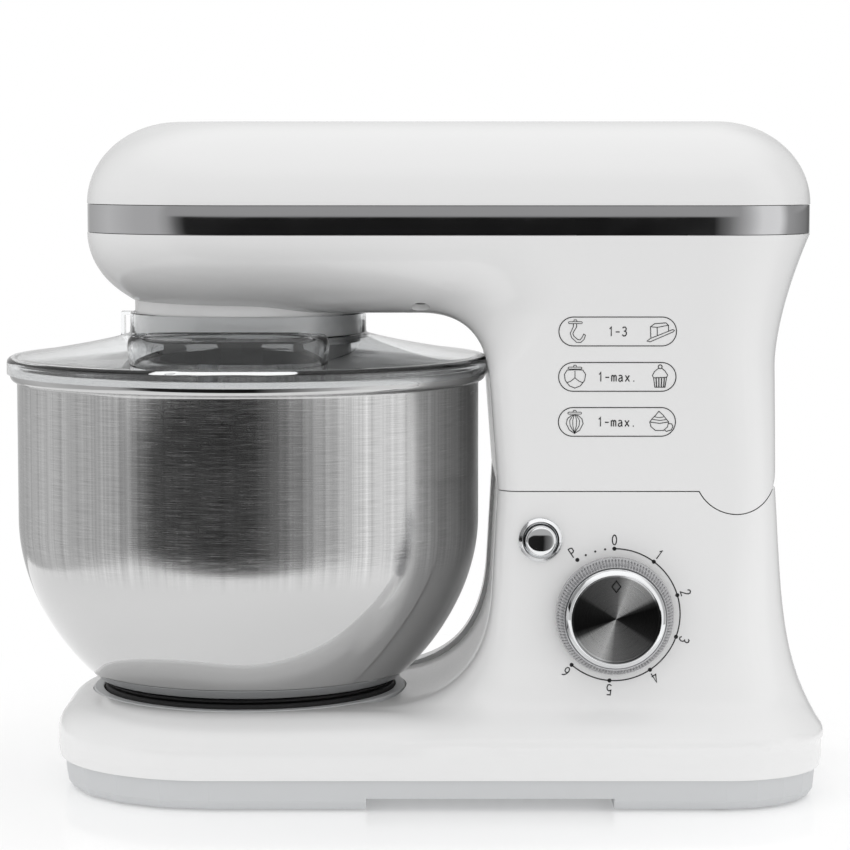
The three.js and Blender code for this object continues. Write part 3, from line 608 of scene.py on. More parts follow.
# ---- controls
def dial_grip():
    """The grip ring: a smooth skirt and a front cone cut with fine ribs."""
    ribs, outer = 110, (GRIP_HIGH[0] - GRIP_LOW[0]) / 2
    inner = RIM_RADIUS + 0.2
    front, back = GRIP_LOW[1], GRIP_HIGH[1]
    turn = np.linspace(0, 2 * math.pi, ribs * 6, endpoint=False)
    groove = 0.5 - 0.5 * np.cos(turn * ribs)
    profile = [  # radius, depth, how deep the ribs cut
        (outer - 0.5, back, 0), (outer, back - 0.8, 0), (outer, back - 3, 0), (outer - 0.25, back - 4.2, 0),
        (outer - 0.55, back - 4.6, 0), (outer - 0.8, back - 5.0, 0.8), (outer - 1.4, front + 2.0, 1.0),
        (inner + 1.1, front + 0.5, 1.0), (inner + 0.8, front + 0.3, 0), (inner + 0.4, front + 0.2, 0),
        (inner, front + 0.6, 0), (inner, back - 3, 0), (4, back - 3, 0), (4, back, 0)]
    rows = [[(DIAL[0] + (radius - 0.6 * cut * g) * math.cos(a), y + 0.8 * cut * g,
              DIAL[2] + (radius - 0.6 * cut * g) * math.sin(a)) for a, g in zip(turn, groove)]
            for radius, y, cut in profile]
    faces = wrapped([(i, (i + 1) % len(rows)) for i in range(len(rows))], len(turn))
    return outward(new_object("dial_grip_ring", [p for row in rows for p in row], faces, angle=50))


def turned_y(name, profile, centre, count=128, angle=32):
    """Turns (radius, y) points about the Y axis through centre."""
    local = [(radius, -(y - centre[1])) for radius, y in profile]
    return revolve(name, local, centre, axis="y", count=count, angle=angle)


RIM_RADIUS = 23.2  # the mirror cone laps a little over the grip


def dial_rim():
    """The bright ring: a mirror cone that faces outward."""
    inner = FACE_HIGH[0] - DIAL[0] + 0.2
    front, back = RIM_LOW[1], RIM_HIGH[1]
    profile = [(inner, back), (inner, front + 0.4), (inner + 0.15, front + 0.1), (inner + 0.4, front),
               (inner + 0.6, front + 0.1), (RIM_RADIUS - 0.2, front + 2.2), (RIM_RADIUS, front + 2.6),
               (RIM_RADIUS, back)]
    return turned_y("dial_rim_ring", profile, DIAL)


def dial_face():
    radius = FACE_HIGH[0] - DIAL[0]
    front, back = FACE_LOW[1], FACE_HIGH[1]
    profile = [(0, back), (0, front + 0.3), (radius * 0.5, front + 0.22), (radius - 0.6, front),
               (radius, front + 0.5), (radius, back)]
    return turned_y("dial_face_disc", profile, DIAL, count=160)


def diamond():
    x, z, y = DIAL[0], DIAL[2] + 15.2, FACE_LOW[1]
    outer = [(x, z - 3.1), (x + 2.4, z), (x, z + 3.1), (x - 2.4, z)]
    inner = [(x, z - 2.2), (x + 1.7, z), (x, z + 2.2), (x - 1.7, z)]
    made = prism([(q, p) for p, q in outer], 1, y - 0.12, y + 0.6)
    carve(made, prism([(q, p) for p, q in inner], 1, y - 0.5, y + 0.9))
    made.name = "dial_pointer"
    return made


def button_bezel():
    inner, outer = CAP_HIGH[0] - BUTTON[0] + 0.25, BEZEL_HIGH[0] - BUTTON[0]
    front, back = BEZEL_LOW[1], BEZEL_HIGH[1] + 1.2
    profile = [(inner, back), (inner, front + 0.8), (inner + 0.5, front + 0.1), (inner + 1.2, front),
               (outer - 0.9, front + 0.7), (outer - 0.2, front + 1.5), (outer, back)]
    return turned_y("button_bezel_ring", profile, BUTTON)


def release_cap():
    radius, front = CAP_HIGH[0] - BUTTON[0], CAP_LOW[1]
    dome = [(radius * t, front + 0.9 * t ** 2 + 1.5 * t ** 14) for t in np.linspace(0, 1, 24) ** 0.6]
    profile = [*dome, (radius, front + 5), (radius, front + 16), (3, front + 16), (3, CAP_HIGH[1]),
               (0, CAP_HIGH[1])]
    return turned_y("release_cap_dome", profile, BUTTON, angle=50)


# ---- printed marks
LETTERS = {  # strokes of each letter in a box 4 wide and 6 high
    "0": [[(2 + 1.6 * math.sin(a), 3 - 3 * math.cos(a)) for a in np.linspace(0, 2 * math.pi, 17)]],
    "1": [[(0.9, 4.6), (2.2, 6), (2.2, 0)]],
    "2": [[(0.4, 4.5), (0.9, 5.6), (2, 6), (3.2, 5.5), (3.5, 4.3), (2.8, 3), (0.3, 0), (3.7, 0)]],
    "3": [[(0.5, 5.2), (1.3, 5.9), (2.6, 5.9), (3.4, 5.1), (3.3, 4), (2.5, 3.3), (1.6, 3.2)],
          [(2.5, 3.3), (3.5, 2.5), (3.6, 1.3), (2.8, 0.2), (1.4, 0), (0.3, 0.9)]],
    "4": [[(2.9, 0), (2.9, 6), (0.2, 1.8), (3.9, 1.8)]],
    "5": [[(3.5, 6), (0.9, 6), (0.6, 3.3), (2, 3.7), (3.2, 3.2), (3.6, 1.9), (3, 0.4), (1.6, 0), (0.3, 0.7)]],
    "6": [[(3.2, 5.8), (1.8, 5.2), (0.7, 3.6), (0.4, 1.8), (1, 0.5), (2.1, 0), (3.2, 0.5), (3.6, 1.7),
           (3.1, 2.9), (2, 3.3), (0.8, 2.8)]],
    "P": [[(0.6, 0), (0.6, 6), (2.4, 6), (3.5, 5.4), (3.5, 3.7), (2.4, 3), (0.6, 3)]],
    "m": [[(0.2, 0), (0.2, 4)], [(0.2, 3.2), (1, 4), (1.8, 3.7), (2, 2.9), (2, 0)],
          [(2, 3.1), (2.8, 4), (3.6, 3.7), (3.8, 2.9), (3.8, 0)]],
    "a": [[(0.6, 3.6), (1.6, 4.1), (2.8, 3.8), (3.2, 2.9), (3.2, 0.6), (3.7, 0)],
          [(3.2, 2.4), (1.6, 2.2), (0.5, 1.5), (0.6, 0.4), (1.6, 0), (3.2, 0.8)]],
    "x": [[(0.4, 4), (3.6, 0)], [(3.6, 4), (0.4, 0)]],
    "-": [[(0.5, 2.7), (3.5, 2.7)]],
    ".": [[(1.4, 0.2), (2.2, 0.2)]],
}


LETTER_PITCH = 5.4
LETTER_STROKE = 0.5


def unit(vectors):
    return vectors / np.maximum(np.linalg.norm(vectors, axis=1), 1e-9)[:, None]


class Print:
    """Flat marks drawn in x and z millimetres, later laid on a surface that faces -Y."""

    def __init__(self):
        self.points, self.faces = [], []

    def strip(self, left, right, closed):
        start, count = len(self.points), len(left)
        self.points += [p for pair in zip(left, right) for p in pair]
        for i in range(count if closed else count - 1):
            j = (i + 1) % count
            self.faces.append((start + 2 * i, start + 2 * j, start + 2 * j + 1, start + 2 * i + 1))

    def line(self, points, width, closed=False):
        """A stroke of that width along points."""
        path = np.array(points, float)
        before = np.roll(path, 1, 0)
        after = np.roll(path, -1, 0)
        if not closed:
            before[0], after[-1] = path[0], path[-1]
        into, out = unit(path - before), unit(after - path)
        along = unit(into + out)
        side = np.stack([-along[:, 1], along[:, 0]], 1)
        heading = np.where(np.linalg.norm(out, axis=1)[:, None] > 0.5, out, into)
        spread = np.clip((along * heading).sum(1), 0.5, 1)
        side *= (width / 2 / spread)[:, None]
        self.strip((path + side).tolist(), (path - side).tolist(), closed)

    def dot(self, x, z, radius):
        start = len(self.points)
        ring = circle(x, z, radius, 20)
        self.points += [(x, z), *ring]
        self.faces += [(start, start + 1 + i, start + 1 + (i + 1) % 20) for i in range(20)]

    def text(self, words, x, z, height, angle=0.0, wide=1.0):
        """Plain words centred on x, z, the capitals that high, turned clockwise by angle."""
        scale = height / 6
        cos, sin = math.cos(math.radians(-angle)), math.sin(math.radians(-angle))
        for place, letter in enumerate(words):
            shift = (place - (len(words) - 1) / 2) * LETTER_PITCH - 2
            for stroke in LETTERS[letter]:
                flat = [((u + shift) * scale * wide, (v - 3) * scale) for u, v in stroke]
                self.line([(x + u * cos - v * sin, z + u * sin + v * cos) for u, v in flat], LETTER_STROKE)

    def pen(self, x, z):
        """A function that draws strokes whose points are measured from x, z."""
        def draw(points, width, closed=False):
            self.line([(x + u, z + v) for u, v in points], width, closed)
        return draw

    def laid_on(self, name, body, proud=0.07, thick=0.12):
        """The marks as a thin solid on the side of body that faces -Y."""
        tree = BVHTree.FromPolygons([v.co / MM for v in body.data.vertices],
                                    [tuple(f.vertices) for f in body.data.polygons])
        verts = []
        for x, z in self.points:
            hit = tree.ray_cast(Vector((x, -160, z)), Vector((0, 1, 0)))[0]
            verts.append((x, hit.y - proud, z))
        made = new_object(name, verts, self.faces, smooth=False)
        modifier = made.modifiers.new("thick", "SOLIDIFY")
        modifier.thickness, modifier.offset = thick * MM, 0
        return outward(baked(made))


def arc(x, z, radius, start, end, steps=40):
    """Points on an arc, its angles clockwise from the top."""
    turn = np.radians(np.linspace(start, end, steps))
    return list(zip(x + radius * np.sin(turn), z + radius * np.cos(turn)))


DIAL_STOPS = {"P": -34.0, "0": 0.0, "1": 36.7, "2": 73.0, "3": 110.0, "4": 147.0, "5": 184.0, "6": 220.0}


def dial_marks(body):
    x, z, ring = DIAL[0], DIAL[2], 30.8
    marks = Print()
    marks.line(arc(x, z, ring, DIAL_STOPS["0"], DIAL_STOPS["6"], 120), 0.55)
    for label, angle in DIAL_STOPS.items():
        spot = arc(x, z, ring, angle, angle, 1)[0]
        marks.dot(*spot, 0.95)
        place = arc(x, z, ring + 4.1, angle, angle, 1)[0]
        marks.text(label, *place, 4.6, angle, 0.8)
    for angle in (-25.6, -16.8, -8.1):
        marks.dot(*arc(x, z, ring, angle, angle, 1)[0], 0.5)
    return marks.laid_on("dial_scale_print", body)


def both_ways(points):
    """Points of a right half and their mirror image, as one closed loop."""
    return points + [(-u, v) for u, v in reversed(points) if abs(u) > 1e-6]


def tool_head(draw):
    draw(stadium(6.4, 0.9, 0, 4.1, 6), 0.28, True)
    draw([(-0.8, 4.7), (-0.5, 5.4), (0.5, 5.4), (0.8, 4.7)], 0.28)


def hook_icon(draw):
    tool_head(draw)
    outline = [(-0.9, 3.5), (-0.9, 2.2), (-2.3, -0.8), (-1.7, -2.8), (0.6, -5.0), (2.5, -5.1), (4.1, -3.7),
               (4.7, -1.7), (3.9, -1.2), (3.0, -3.0), (2.2, -3.9), (1.1, -3.7), (-0.7, -2.1), (-1.1, -0.8),
               (0.6, 2.2), (0.6, 3.5)]
    draw(outline, 0.32)


def beater_icon(draw):
    tool_head(draw)
    draw(both_ways([(0, 3.3), (3.6, 3.2), (4.9, 1.2), (4.5, -1.6), (2.5, -4.2), (0, -5.2)]), 0.34, True)
    for side in (-1, 1):
        draw([(0, 2.8), (0, -0.4), (side * 1.9, -2.0), (side * 3.9, -2.8)], 0.32)


def whisk_icon(draw):
    tool_head(draw)
    draw(both_ways([(0, 3.2), (1.6, 3.0), (3.4, 1.4), (3.9, -0.8), (2.4, -3.8), (0, -5.4)]), 0.34, True)
    for bulge in (-2.3, -0.9, 0.9, 2.3):
        draw([(bulge * 0.4, 3.0), (bulge, 0.6), (bulge * 0.9, -1.8), (0, -5.2)], 0.3)


def bread_icon(draw):
    draw([(-6.2, -4.4), (-4.6, -3.2), (5.6, 0.9), (6.4, 0.5), (5.8, -0.2), (-4.8, -4.8)], 0.32, True)
    draw([(-4.5, -2.8), (-4.7, 2.2), (-2.8, 3.6), (2.4, 4.0), (3.6, 2.9), (3.7, 0.2)], 0.36)
    draw([(-4.7, 2.2), (-1.6, 1.9), (3.6, 2.9)], 0.3)
    draw([(-1.6, 1.9), (-1.5, -1.7)], 0.36)


def cupcake_icon(draw):
    draw(circle(0, 4.7, 0.9, 14), 0.4, True)
    frosting = [(-0.8, 4.0), (-2.6, 2.5), (-3.6, 0.6), (-3.0, -0.4), (3.0, -0.2), (3.5, 0.8), (2.2, 2.8),
                (0.8, 4.0)]
    draw(frosting, 0.34)
    draw([(-3.0, -0.4), (-2.4, -4.8), (2.3, -4.8), (3.0, -0.2)], 0.36)
    for u in (-1.6, -0.5, 0.6, 1.7):
        draw([(u * 1.15, -0.4), (u, -4.7)], 0.5)


def cup_icon(draw):
    draw([(-4.6, 0.0), (-3.4, 1.6), (-1.8, 3.2), (-0.4, 5.0), (1.6, 3.2), (3.0, 1.4), (4.2, 0.0)], 0.34)
    draw([(-2.4, 2.4), (-0.2, 2.0), (2.3, 2.4)], 0.3)
    draw([(-3.6, 1.2), (0, 0.7), (3.3, 1.1)], 0.3)
    draw([(-4.6, 0.0), (0, -0.7), (4.2, 0.0)], 0.36)
    draw([(-4.6, 0.0), (-4.0, -2.2), (-1.9, -4.0), (1.8, -4.0), (3.6, -2.4), (4.2, 0.0)], 0.34)
    draw([(4.0, -0.8), (5.6, -0.9), (6.2, -2.2), (5.4, -3.8), (3.2, -4.4), (2.4, -3.9)], 0.36)


PANEL_X, PANEL_WIDE, PANEL_TALL, PANEL_STROKE = 96.2, 54.3, 13.4, 0.42
PANEL_ROWS = (
    (222.4, "1-3", hook_icon, bread_icon),
    (201.3, "1-max.", beater_icon, cupcake_icon),
    (180.3, "1-max.", whisk_icon, cup_icon),
)


def icon_panel(body):
    """Three outlined rows: the tool, its speeds and what it is for."""
    marks = Print()
    for z, words, tool, food in PANEL_ROWS:
        marks.line(stadium(PANEL_WIDE, PANEL_TALL, PANEL_X, z), PANEL_STROKE, True)
        tool(marks.pen(PANEL_X - 19.6, z))
        food(marks.pen(PANEL_X + 19.8, z))
        marks.text(words, PANEL_X, z, 4.2, 0, 0.82)
    return marks.laid_on("icon_panel_print", body)


# ---- materials
PAINTED_SHEEN = (  # angle round the dial's face in radians, and the grey of the highlight painted there
    (0.0, 0.03), (0.28, 0.02), (0.42, 0.10), (0.56, 0.75), (1.2, 1.0), (1.36, 0.6), (1.5, 0.28),
    (1.9, 0.2), (2.5, 0.16), (2.62, 0.05), (math.pi, 0.03))


def node(tree, kind, **inputs):
    made = tree.nodes.new(kind)
    for name, value in inputs.items():
        key = name.replace("_", " ")
        made.inputs[key].default_value = value
    return made


def principled(name, color, roughness, metallic=0.0, **extra):
    material = bpy.data.materials.new(name)
    material.use_nodes = True
    shader = material.node_tree.nodes["Principled BSDF"]
    shader.inputs["Base Color"].default_value = (*color, 1)
    shader.inputs["Roughness"].default_value = roughness
    shader.inputs["Metallic"].default_value = metallic
    for key, value in extra.items():
        shader.inputs[key.replace("_", " ")].default_value = value
    return material, material.node_tree, shader


def ranged(tree, value, **ranges):
    """A Map Range node over value."""
    made = node(tree, "ShaderNodeMapRange", **ranges)
    tree.links.new(value, made.inputs["Value"])
    return made.outputs["Result"]


def speckle(tree, shader, scale, low, high, bump=0.0, stretch=(1, 1, 1), detail=3.0):
    """Noise in object space drives the roughness between low and high, and a little bump."""
    place = node(tree, "ShaderNodeTexCoord")
    mapping = node(tree, "ShaderNodeMapping")
    mapping.inputs["Scale"].default_value = stretch
    noise = node(tree, "ShaderNodeTexNoise", Scale=scale, Detail=detail)
    tree.links.new(place.outputs["Object"], mapping.inputs["Vector"])
    tree.links.new(mapping.outputs["Vector"], noise.inputs["Vector"])
    rough = ranged(tree, noise.outputs["Fac"], From_Min=0.3, From_Max=0.7, To_Min=low, To_Max=high)
    tree.links.new(rough, shader.inputs["Roughness"])
    if bump:
        bumps = node(tree, "ShaderNodeBump", Strength=bump, Distance=0.0002)
        tree.links.new(noise.outputs["Fac"], bumps.inputs["Height"])
        tree.links.new(bumps.outputs["Normal"], shader.inputs["Normal"])
    return noise


def white_plastic():
    material, tree, shader = principled("white_gloss_plastic", (0.85, 0.85, 0.85), 0.2, IOR=1.5)
    speckle(tree, shader, 900, 0.2, 0.26, bump=0.015)
    shader.inputs["Coat Weight"].default_value = 0.35
    shader.inputs["Coat Roughness"].default_value = 0.08
    return material


def cover_plastic():
    material, tree, shader = principled("pale_satin_plastic", (0.62, 0.63, 0.64), 0.42)
    speckle(tree, shader, 1400, 0.36, 0.5, bump=0.06)
    return material


def band_chrome():
    material, tree, shader = principled("band_chrome", (0.62, 0.62, 0.63), 0.07, 1.0)
    speckle(tree, shader, 60, 0.05, 0.1)
    return material


def button_chrome():
    material, tree, shader = principled("bright_chrome", (0.86, 0.87, 0.88), 0.05, 1.0)
    speckle(tree, shader, 120, 0.03, 0.07)
    return material


def ramped(tree, value, low, high, stops):
    """A grey ramp over value, from stops of (value, grey)."""
    ramp = node(tree, "ShaderNodeValToRGB")
    tree.links.new(ranged(tree, value, From_Min=low, From_Max=high), ramp.inputs["Fac"])
    while len(ramp.color_ramp.elements) < len(stops):
        ramp.color_ramp.elements.new(0.5)
    for element, (place, grey) in zip(ramp.color_ramp.elements, stops):
        element.position = (place - low) / (high - low)
        element.color = (grey, grey, grey, 1)
    return ramp.outputs["Color"]


def math_node(tree, operation, *inputs):
    """A Math node; inputs are sockets or numbers."""
    made = node(tree, "ShaderNodeMath")
    made.operation = operation
    for socket, value in zip(made.inputs, inputs):
        if isinstance(value, (int, float)):
            socket.default_value = value
        else:
            tree.links.new(value, socket)
    return made.outputs[0]


def world_vector(tree, source):
    """Turns a vector of the object's own space into the world's."""
    turned = node(tree, "ShaderNodeVectorTransform")
    turned.vector_type = "VECTOR"
    turned.convert_from, turned.convert_to = "OBJECT", "WORLD"
    tree.links.new(source, turned.inputs[0])
    return turned.outputs[0]


def steel_tone(tree, around, grain, wall):
    """The steel's grey: faint upright streaks and fine brushing, both only on the upright wall."""
    streaks = node(tree, "ShaderNodeTexNoise", Scale=28.0, Detail=4.0, Roughness=0.7)
    streaks.noise_dimensions = "1D"
    tree.links.new(around, streaks.inputs["W"])
    both = math_node(tree, "ADD", math_node(tree, "MULTIPLY", streaks.outputs["Fac"], 0.45),
                     math_node(tree, "MULTIPLY", grain, 0.55))
    shade_by = math_node(tree, "MULTIPLY", math_node(tree, "SUBTRACT", both, 0.5), wall)
    return ramped(tree, shade_by, -0.25, 0.25, ((-0.25, 0.3), (0.0, 0.6), (0.25, 0.9)))


def brushed_steel():
    """Brushed round its upright wall, polished below where the bowl turns under."""
    material, tree, shader = principled("brushed_bowl_steel", (0.63, 0.63, 0.62), 0.3, 1.0)
    links = tree.links
    place = node(tree, "ShaderNodeTexCoord")
    split = node(tree, "ShaderNodeSeparateXYZ")
    links.new(place.outputs["Object"], split.inputs["Vector"])
    centred = math_node(tree, "SUBTRACT", split.outputs["X"], BOWL_X * MM)
    around = math_node(tree, "ARCTAN2", split.outputs["Y"], centred)
    flat = node(tree, "ShaderNodeCombineXYZ")
    links.new(math_node(tree, "MULTIPLY", around, 1.6), flat.inputs["X"])
    links.new(math_node(tree, "MULTIPLY", split.outputs["Z"], 900.0), flat.inputs["Y"])
    grain = node(tree, "ShaderNodeTexNoise", Scale=4.0, Detail=6.0, Roughness=0.65)
    links.new(flat.outputs[0], grain.inputs["Vector"])
    start = ranged(tree, split.outputs["Z"], From_Min=0.104, From_Max=0.118)
    end = ranged(tree, split.outputs["Z"], From_Min=0.1945, From_Max=0.193)
    wall = math_node(tree, "MULTIPLY", start, end)
    rough = ranged(tree, grain.outputs["Fac"], From_Min=0.3, From_Max=0.7, To_Min=0.12, To_Max=0.3)
    links.new(steel_tone(tree, around, grain.outputs["Fac"], wall), shader.inputs["Base Color"])
    choose = node(tree, "ShaderNodeMix")
    choose.inputs["A"].default_value = 0.04
    links.new(wall, choose.inputs["Factor"])
    links.new(rough, choose.inputs["B"])
    links.new(choose.outputs["Result"], shader.inputs["Roughness"])
    bump = node(tree, "ShaderNodeBump", Distance=0.0001)
    links.new(grain.outputs["Fac"], bump.inputs["Height"])
    links.new(math_node(tree, "MULTIPLY", wall, 0.2), bump.inputs["Strength"])
    links.new(bump.outputs["Normal"], shader.inputs["Normal"])
    links.new(math_node(tree, "MULTIPLY", wall, 0.6), shader.inputs["Anisotropic"])
    up = node(tree, "ShaderNodeCombineXYZ", Z=1.0)
    links.new(world_vector(tree, up.outputs[0]), shader.inputs["Tangent"])
    return material


def radial_brushed():
    """Dark metal brushed in circles, with a highlight in opposite wedges painted into its colour by angle
    round the face.
    """
    material, tree, shader = principled("dial_dark_metal_painted_sheen", (0.1, 0.1, 0.1), 0.3, 1.0)
    links = tree.links
    place = node(tree, "ShaderNodeTexCoord")
    shift = node(tree, "ShaderNodeMapping", Location=(-DIAL[0] * MM, 0, -DIAL[2] * MM), Scale=(1, 0, 1))
    links.new(place.outputs["Object"], shift.inputs["Vector"])
    length = node(tree, "ShaderNodeVectorMath")
    length.operation = "LENGTH"
    links.new(shift.outputs[0], length.inputs[0])
    rings = node(tree, "ShaderNodeTexNoise", Scale=5200.0, Detail=2.0)
    rings.noise_dimensions = "1D"
    links.new(length.outputs["Value"], rings.inputs["W"])
    rough = ranged(tree, rings.outputs["Fac"], From_Min=0.3, From_Max=0.7, To_Min=0.26, To_Max=0.36)
    links.new(rough, shader.inputs["Roughness"])
    # painted highlight: the base colour is a grey ramp by angle round the face, in opposite bright and dark
    # wedges
    split = node(tree, "ShaderNodeSeparateXYZ")
    links.new(shift.outputs[0], split.inputs[0])
    angle = math_node(tree, "ARCTAN2", split.outputs["Z"], split.outputs["X"])
    folded = math_node(tree, "MODULO", math_node(tree, "ADD", angle, 2 * math.pi), math.pi)
    painted_sheen = ramped(tree, folded, 0, math.pi, PAINTED_SHEEN)
    links.new(painted_sheen, shader.inputs["Base Color"])
    shader.inputs["Anisotropic"].default_value = 0.7
    links.new(world_vector(tree, shift.outputs[0]), shader.inputs["Tangent"])
    return material


def clear_plastic(name, tint, roughness):
    material, tree, shader = principled(name, tint, roughness, IOR=1.49)
    shader.inputs["Transmission Weight"].default_value = 1.0
    speckle(tree, shader, 200, roughness, roughness + 0.03)
    return material


def grip_plastic():
    material, tree, shader = principled("smoky_grip_plastic", (0.50, 0.50, 0.51), 0.18, 0.55)
    speckle(tree, shader, 500, 0.15, 0.24, bump=0.05)
    return material


def simple(name, color, low, high, metallic=0.0, scale=600, bump=0.1, stretch=(1, 1, 1)):
    material, tree, shader = principled(name, color, low, metallic)
    speckle(tree, shader, scale, low, high, bump=bump, stretch=stretch)
    return material


def finishes():
    return {
        "white_plastic": white_plastic(),
        "cover_plastic": cover_plastic(),
        "chrome": button_chrome(),
        "brushed_bowl": brushed_steel(),
        "dark_metal": radial_brushed(),
        "steel": simple("machined_steel", (0.52, 0.53, 0.55), 0.25, 0.4, 1.0, 900, 0.1, (1, 1, 6)),
        "copper": simple("enamelled_copper", (0.62, 0.26, 0.11), 0.25, 0.45, 0.9, 1500, 0.3, (1, 1, 9)),
        "nylon": simple("natural_nylon", (0.78, 0.75, 0.66), 0.4, 0.55, 0.0, 700, 0.08),
        "black_rubber": simple("black_rubber", (0.02, 0.02, 0.021), 0.55, 0.75, 0.0, 1200, 0.25),
        "black_plastic": simple("black_plastic", (0.012, 0.012, 0.013), 0.35, 0.5, 0.0, 900, 0.1),
        "board": simple("board_laminate", (0.03, 0.14, 0.06), 0.35, 0.5, 0.0, 500, 0.1),
        "alloy": simple("cast_alloy", (0.70, 0.71, 0.72), 0.3, 0.45, 1.0, 800, 0.2),
        "clear_lid": clear_plastic("clear_lid_plastic", (0.97, 0.98, 0.985), 0.0),
        "dial_grip": grip_plastic(),
        "print": simple("black_print", (0.012, 0.012, 0.013), 0.45, 0.6, 0.0, 2000, 0.05),
        "band": band_chrome(),
    }


# ---- scene
def camera():
    """The photograph's view: level with the head, a little above the bowl."""
    data = bpy.data.cameras.new("camera")
    data.sensor_width = 36
    data.lens = 125.45
    made = bpy.data.objects.new("camera", data)
    made.location = (0.0072, -1.445, 0.3017)
    made.rotation_euler = (math.radians(90 - 5.13), 0, 0)
    bpy.context.scene.collection.objects.link(made)
    bpy.context.scene.camera = made


STUDIO = (  # azimuth in degrees, clockwise from the camera, and how bright the studio is there
    (-180, 0.7), (-166, 0.62), (-154, 0.45), (-116, 0.68), (-86, 0.56), (-66, 0.55), (-58, 0.42), (-51, 0.16),
    (-44, 0.02), (6, 0.01), (12, 0.1), (22, 0.2), (34, 0.4), (46, 0.6), (62, 0.95), (86, 1.0), (100, 0.45),
    (140, 0.25), (156, 0.12), (166, 0.6), (180, 0.7))


def world():
    """White to the camera and to soft light; a studio with a dark middle to what mirrors it."""
    made = bpy.data.worlds.new("studio")
    bpy.context.scene.world = made
    made.use_nodes = True
    tree = made.node_tree
    tree.nodes.clear()
    links = tree.links
    place = node(tree, "ShaderNodeTexCoord")
    split = node(tree, "ShaderNodeSeparateXYZ")
    links.new(place.outputs["Generated"], split.inputs[0])
    mirrored = node(tree, "ShaderNodeBackground")
    links.new(studio_walls(tree, split), mirrored.inputs["Color"])
    soft = node(tree, "ShaderNodeBackground")
    links.new(soft_light(tree, split), soft.inputs["Color"])
    plain = node(tree, "ShaderNodeBackground", Color=(1, 1, 1, 1))
    ray = node(tree, "ShaderNodeLightPath")
    lit = node(tree, "ShaderNodeMixShader")
    links.new(ray.outputs["Is Glossy Ray"], lit.inputs["Fac"])
    links.new(soft.outputs[0], lit.inputs[1])
    links.new(mirrored.outputs[0], lit.inputs[2])
    choose = node(tree, "ShaderNodeMixShader")
    seen = math_node(tree, "MAXIMUM", ray.outputs["Is Camera Ray"], ray.outputs["Is Transmission Ray"])
    links.new(seen, choose.inputs["Fac"])
    links.new(lit.outputs[0], choose.inputs[1])
    links.new(plain.outputs[0], choose.inputs[2])
    out = node(tree, "ShaderNodeOutputWorld")
    links.new(choose.outputs[0], out.inputs["Surface"])


def studio_walls(tree, split):
    """Brightness by direction round the mixer, grey above the horizon, with a lit ceiling."""
    near = math_node(tree, "MULTIPLY", split.outputs["Y"], -1)
    turn = math_node(tree, "ARCTAN2", split.outputs["X"], near)
    stops = [(math.radians(place), grey) for place, grey in STUDIO]
    walls = ramped(tree, turn, -math.pi, math.pi, stops)
    above = ranged(tree, split.outputs["Z"], From_Min=0.06, From_Max=0.1)
    lifted = layered(tree, walls, (0.42, 0.42, 0.42, 1), above, "LIGHTEN")
    high = ranged(tree, split.outputs["Z"], From_Min=0.55, From_Max=0.85)
    return layered(tree, lifted, (1.1, 1.1, 1.1, 1), high, "MIX")


def layered(tree, below, color, factor, blend):
    """One colour laid over another by factor."""
    both = node(tree, "ShaderNodeMix")
    both.data_type = "RGBA"
    both.blend_type = blend
    both.inputs["B"].default_value = color
    tree.links.new(factor, both.inputs["Factor"])
    tree.links.new(below, both.inputs["A"])
    return both.outputs["Result"]


def soft_light(tree, split):
    """Even light, a little stronger from above than from the sides."""
    return ramped(tree, split.outputs["Z"], -1, 1, ((-1, 0.6), (-0.1, 0.84), (0.2, 1.0), (1, 1.0)))


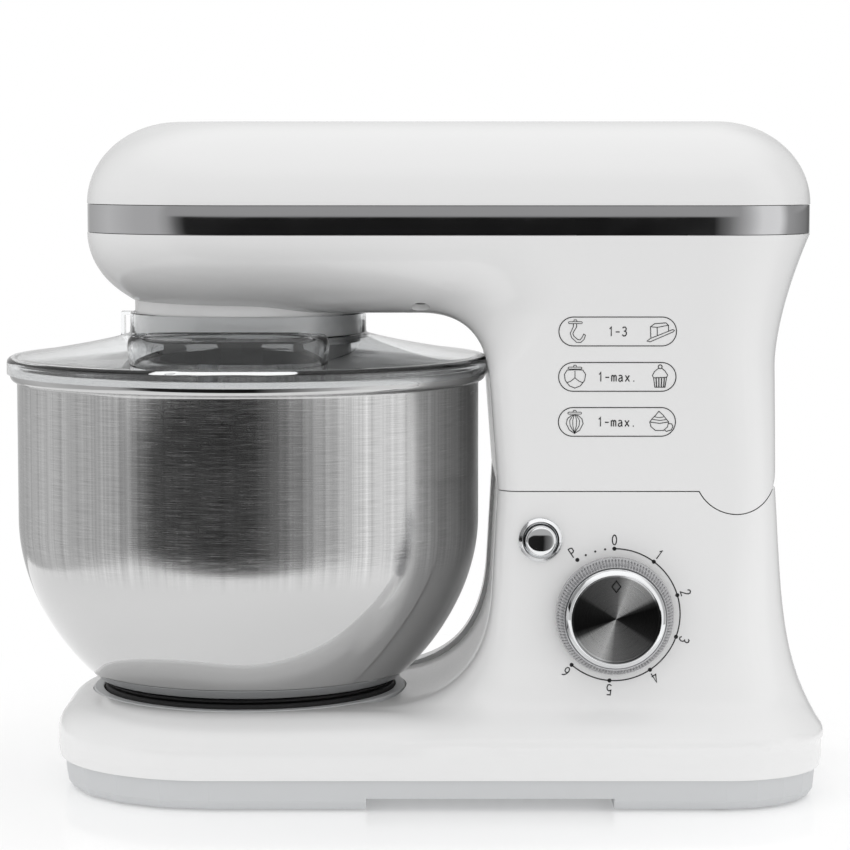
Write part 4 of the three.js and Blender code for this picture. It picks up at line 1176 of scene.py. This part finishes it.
def floor():
    """The white table, which fades into the white round it; its edges lie out of the camera's sight."""
    front, side, back = -330, 450, 450
    made = new_object("floor", [(-side, front, 0), (side, front, 0), (side, back, 0), (-side, back, 0)],
                      [(0, 1, 2, 3)], smooth=False)
    material, tree, shader = principled("pale_floor", (0.94, 0.94, 0.94), 0.12)
    shader.inputs["Emission Color"].default_value = (1, 1, 1, 1)
    shader.inputs["Emission Strength"].default_value = 0.2
    speckle(tree, shader, 3, 0.1, 0.16)
    place = node(tree, "ShaderNodeTexCoord")
    length = node(tree, "ShaderNodeVectorMath")
    length.operation = "LENGTH"
    tree.links.new(place.outputs["Object"], length.inputs[0])
    fade = node(tree, "ShaderNodeMapRange", From_Min=0.22, From_Max=0.42)
    fade.interpolation_type = "SMOOTHSTEP"
    tree.links.new(length.outputs["Value"], fade.inputs["Value"])
    glow = node(tree, "ShaderNodeEmission", Color=(1, 1, 1, 1), Strength=1.0)
    both = node(tree, "ShaderNodeMixShader")
    tree.links.new(fade.outputs["Result"], both.inputs["Fac"])
    tree.links.new(shader.outputs[0], both.inputs[1])
    tree.links.new(glow.outputs[0], both.inputs[2])
    tree.links.new(both.outputs[0], tree.nodes["Material Output"].inputs["Surface"])
    made.data.materials.append(material)


def dress(obj, body, slot, material, *nodes):
    obj.data.materials.clear()
    obj.data.materials.append(material)
    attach(obj, body)
    if nodes:
        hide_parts(*nodes)
    return obj


SURFACES = (  # CAD node, what makes the piece that replaces it, its body and its material slot
    ("head_top_cover", head_top_cover, "head", "white_plastic"),
    ("head_housing", head_housing, "head", "white_plastic"),
    ("trim_band", trim_band, "head", "chrome"),
    ("base_housing", base_housing, "base", "white_plastic"),
    ("mixing_bowl", mixing_bowl, "bowl", "brushed_bowl"),
    ("hub_housing", hub_housing, "head", "white_plastic"),
    ("bowl_socket_ring", bowl_socket_ring, "base", "cover_plastic"),
    ("bowl_foot", bowl_foot, "bowl", "black_rubber"),
    ("splash_lid", splash_lid, "lid", "clear_lid"),
    ("dial_grip", dial_grip, "dial", "dial_grip"),
    ("dial_rim", dial_rim, "dial", "chrome"),
    ("dial_face", dial_face, "dial", "dark_metal"),
    ("button_bezel", button_bezel, "base", "chrome"),
    ("release_cap", release_cap, "release_button", "chrome"),
)


def build():
    look = finishes()
    slots = {part["node"]: part["material_slot"] for part in frame["record"]["subparts"]}
    for name, obj in frame["nodes"].items():
        obj.data.materials.clear()
        obj.data.materials.append(look[slots[name]])
        shade(obj)
    made = {}
    for name, make, body, slot in SURFACES:
        finish = "band" if name == "trim_band" else slot
        made[name] = dress(make(), body, slot, look[finish], name)
    dress(icon_panel(made["head_housing"]), "head", None, look["print"])
    dress(dial_marks(made["base_housing"]), "base", None, look["print"])
    dress(diamond(), "dial", "chrome", look["chrome"])


bpy.context.scene.view_settings.view_transform = "Standard"
camera()
world()
floor()
build()
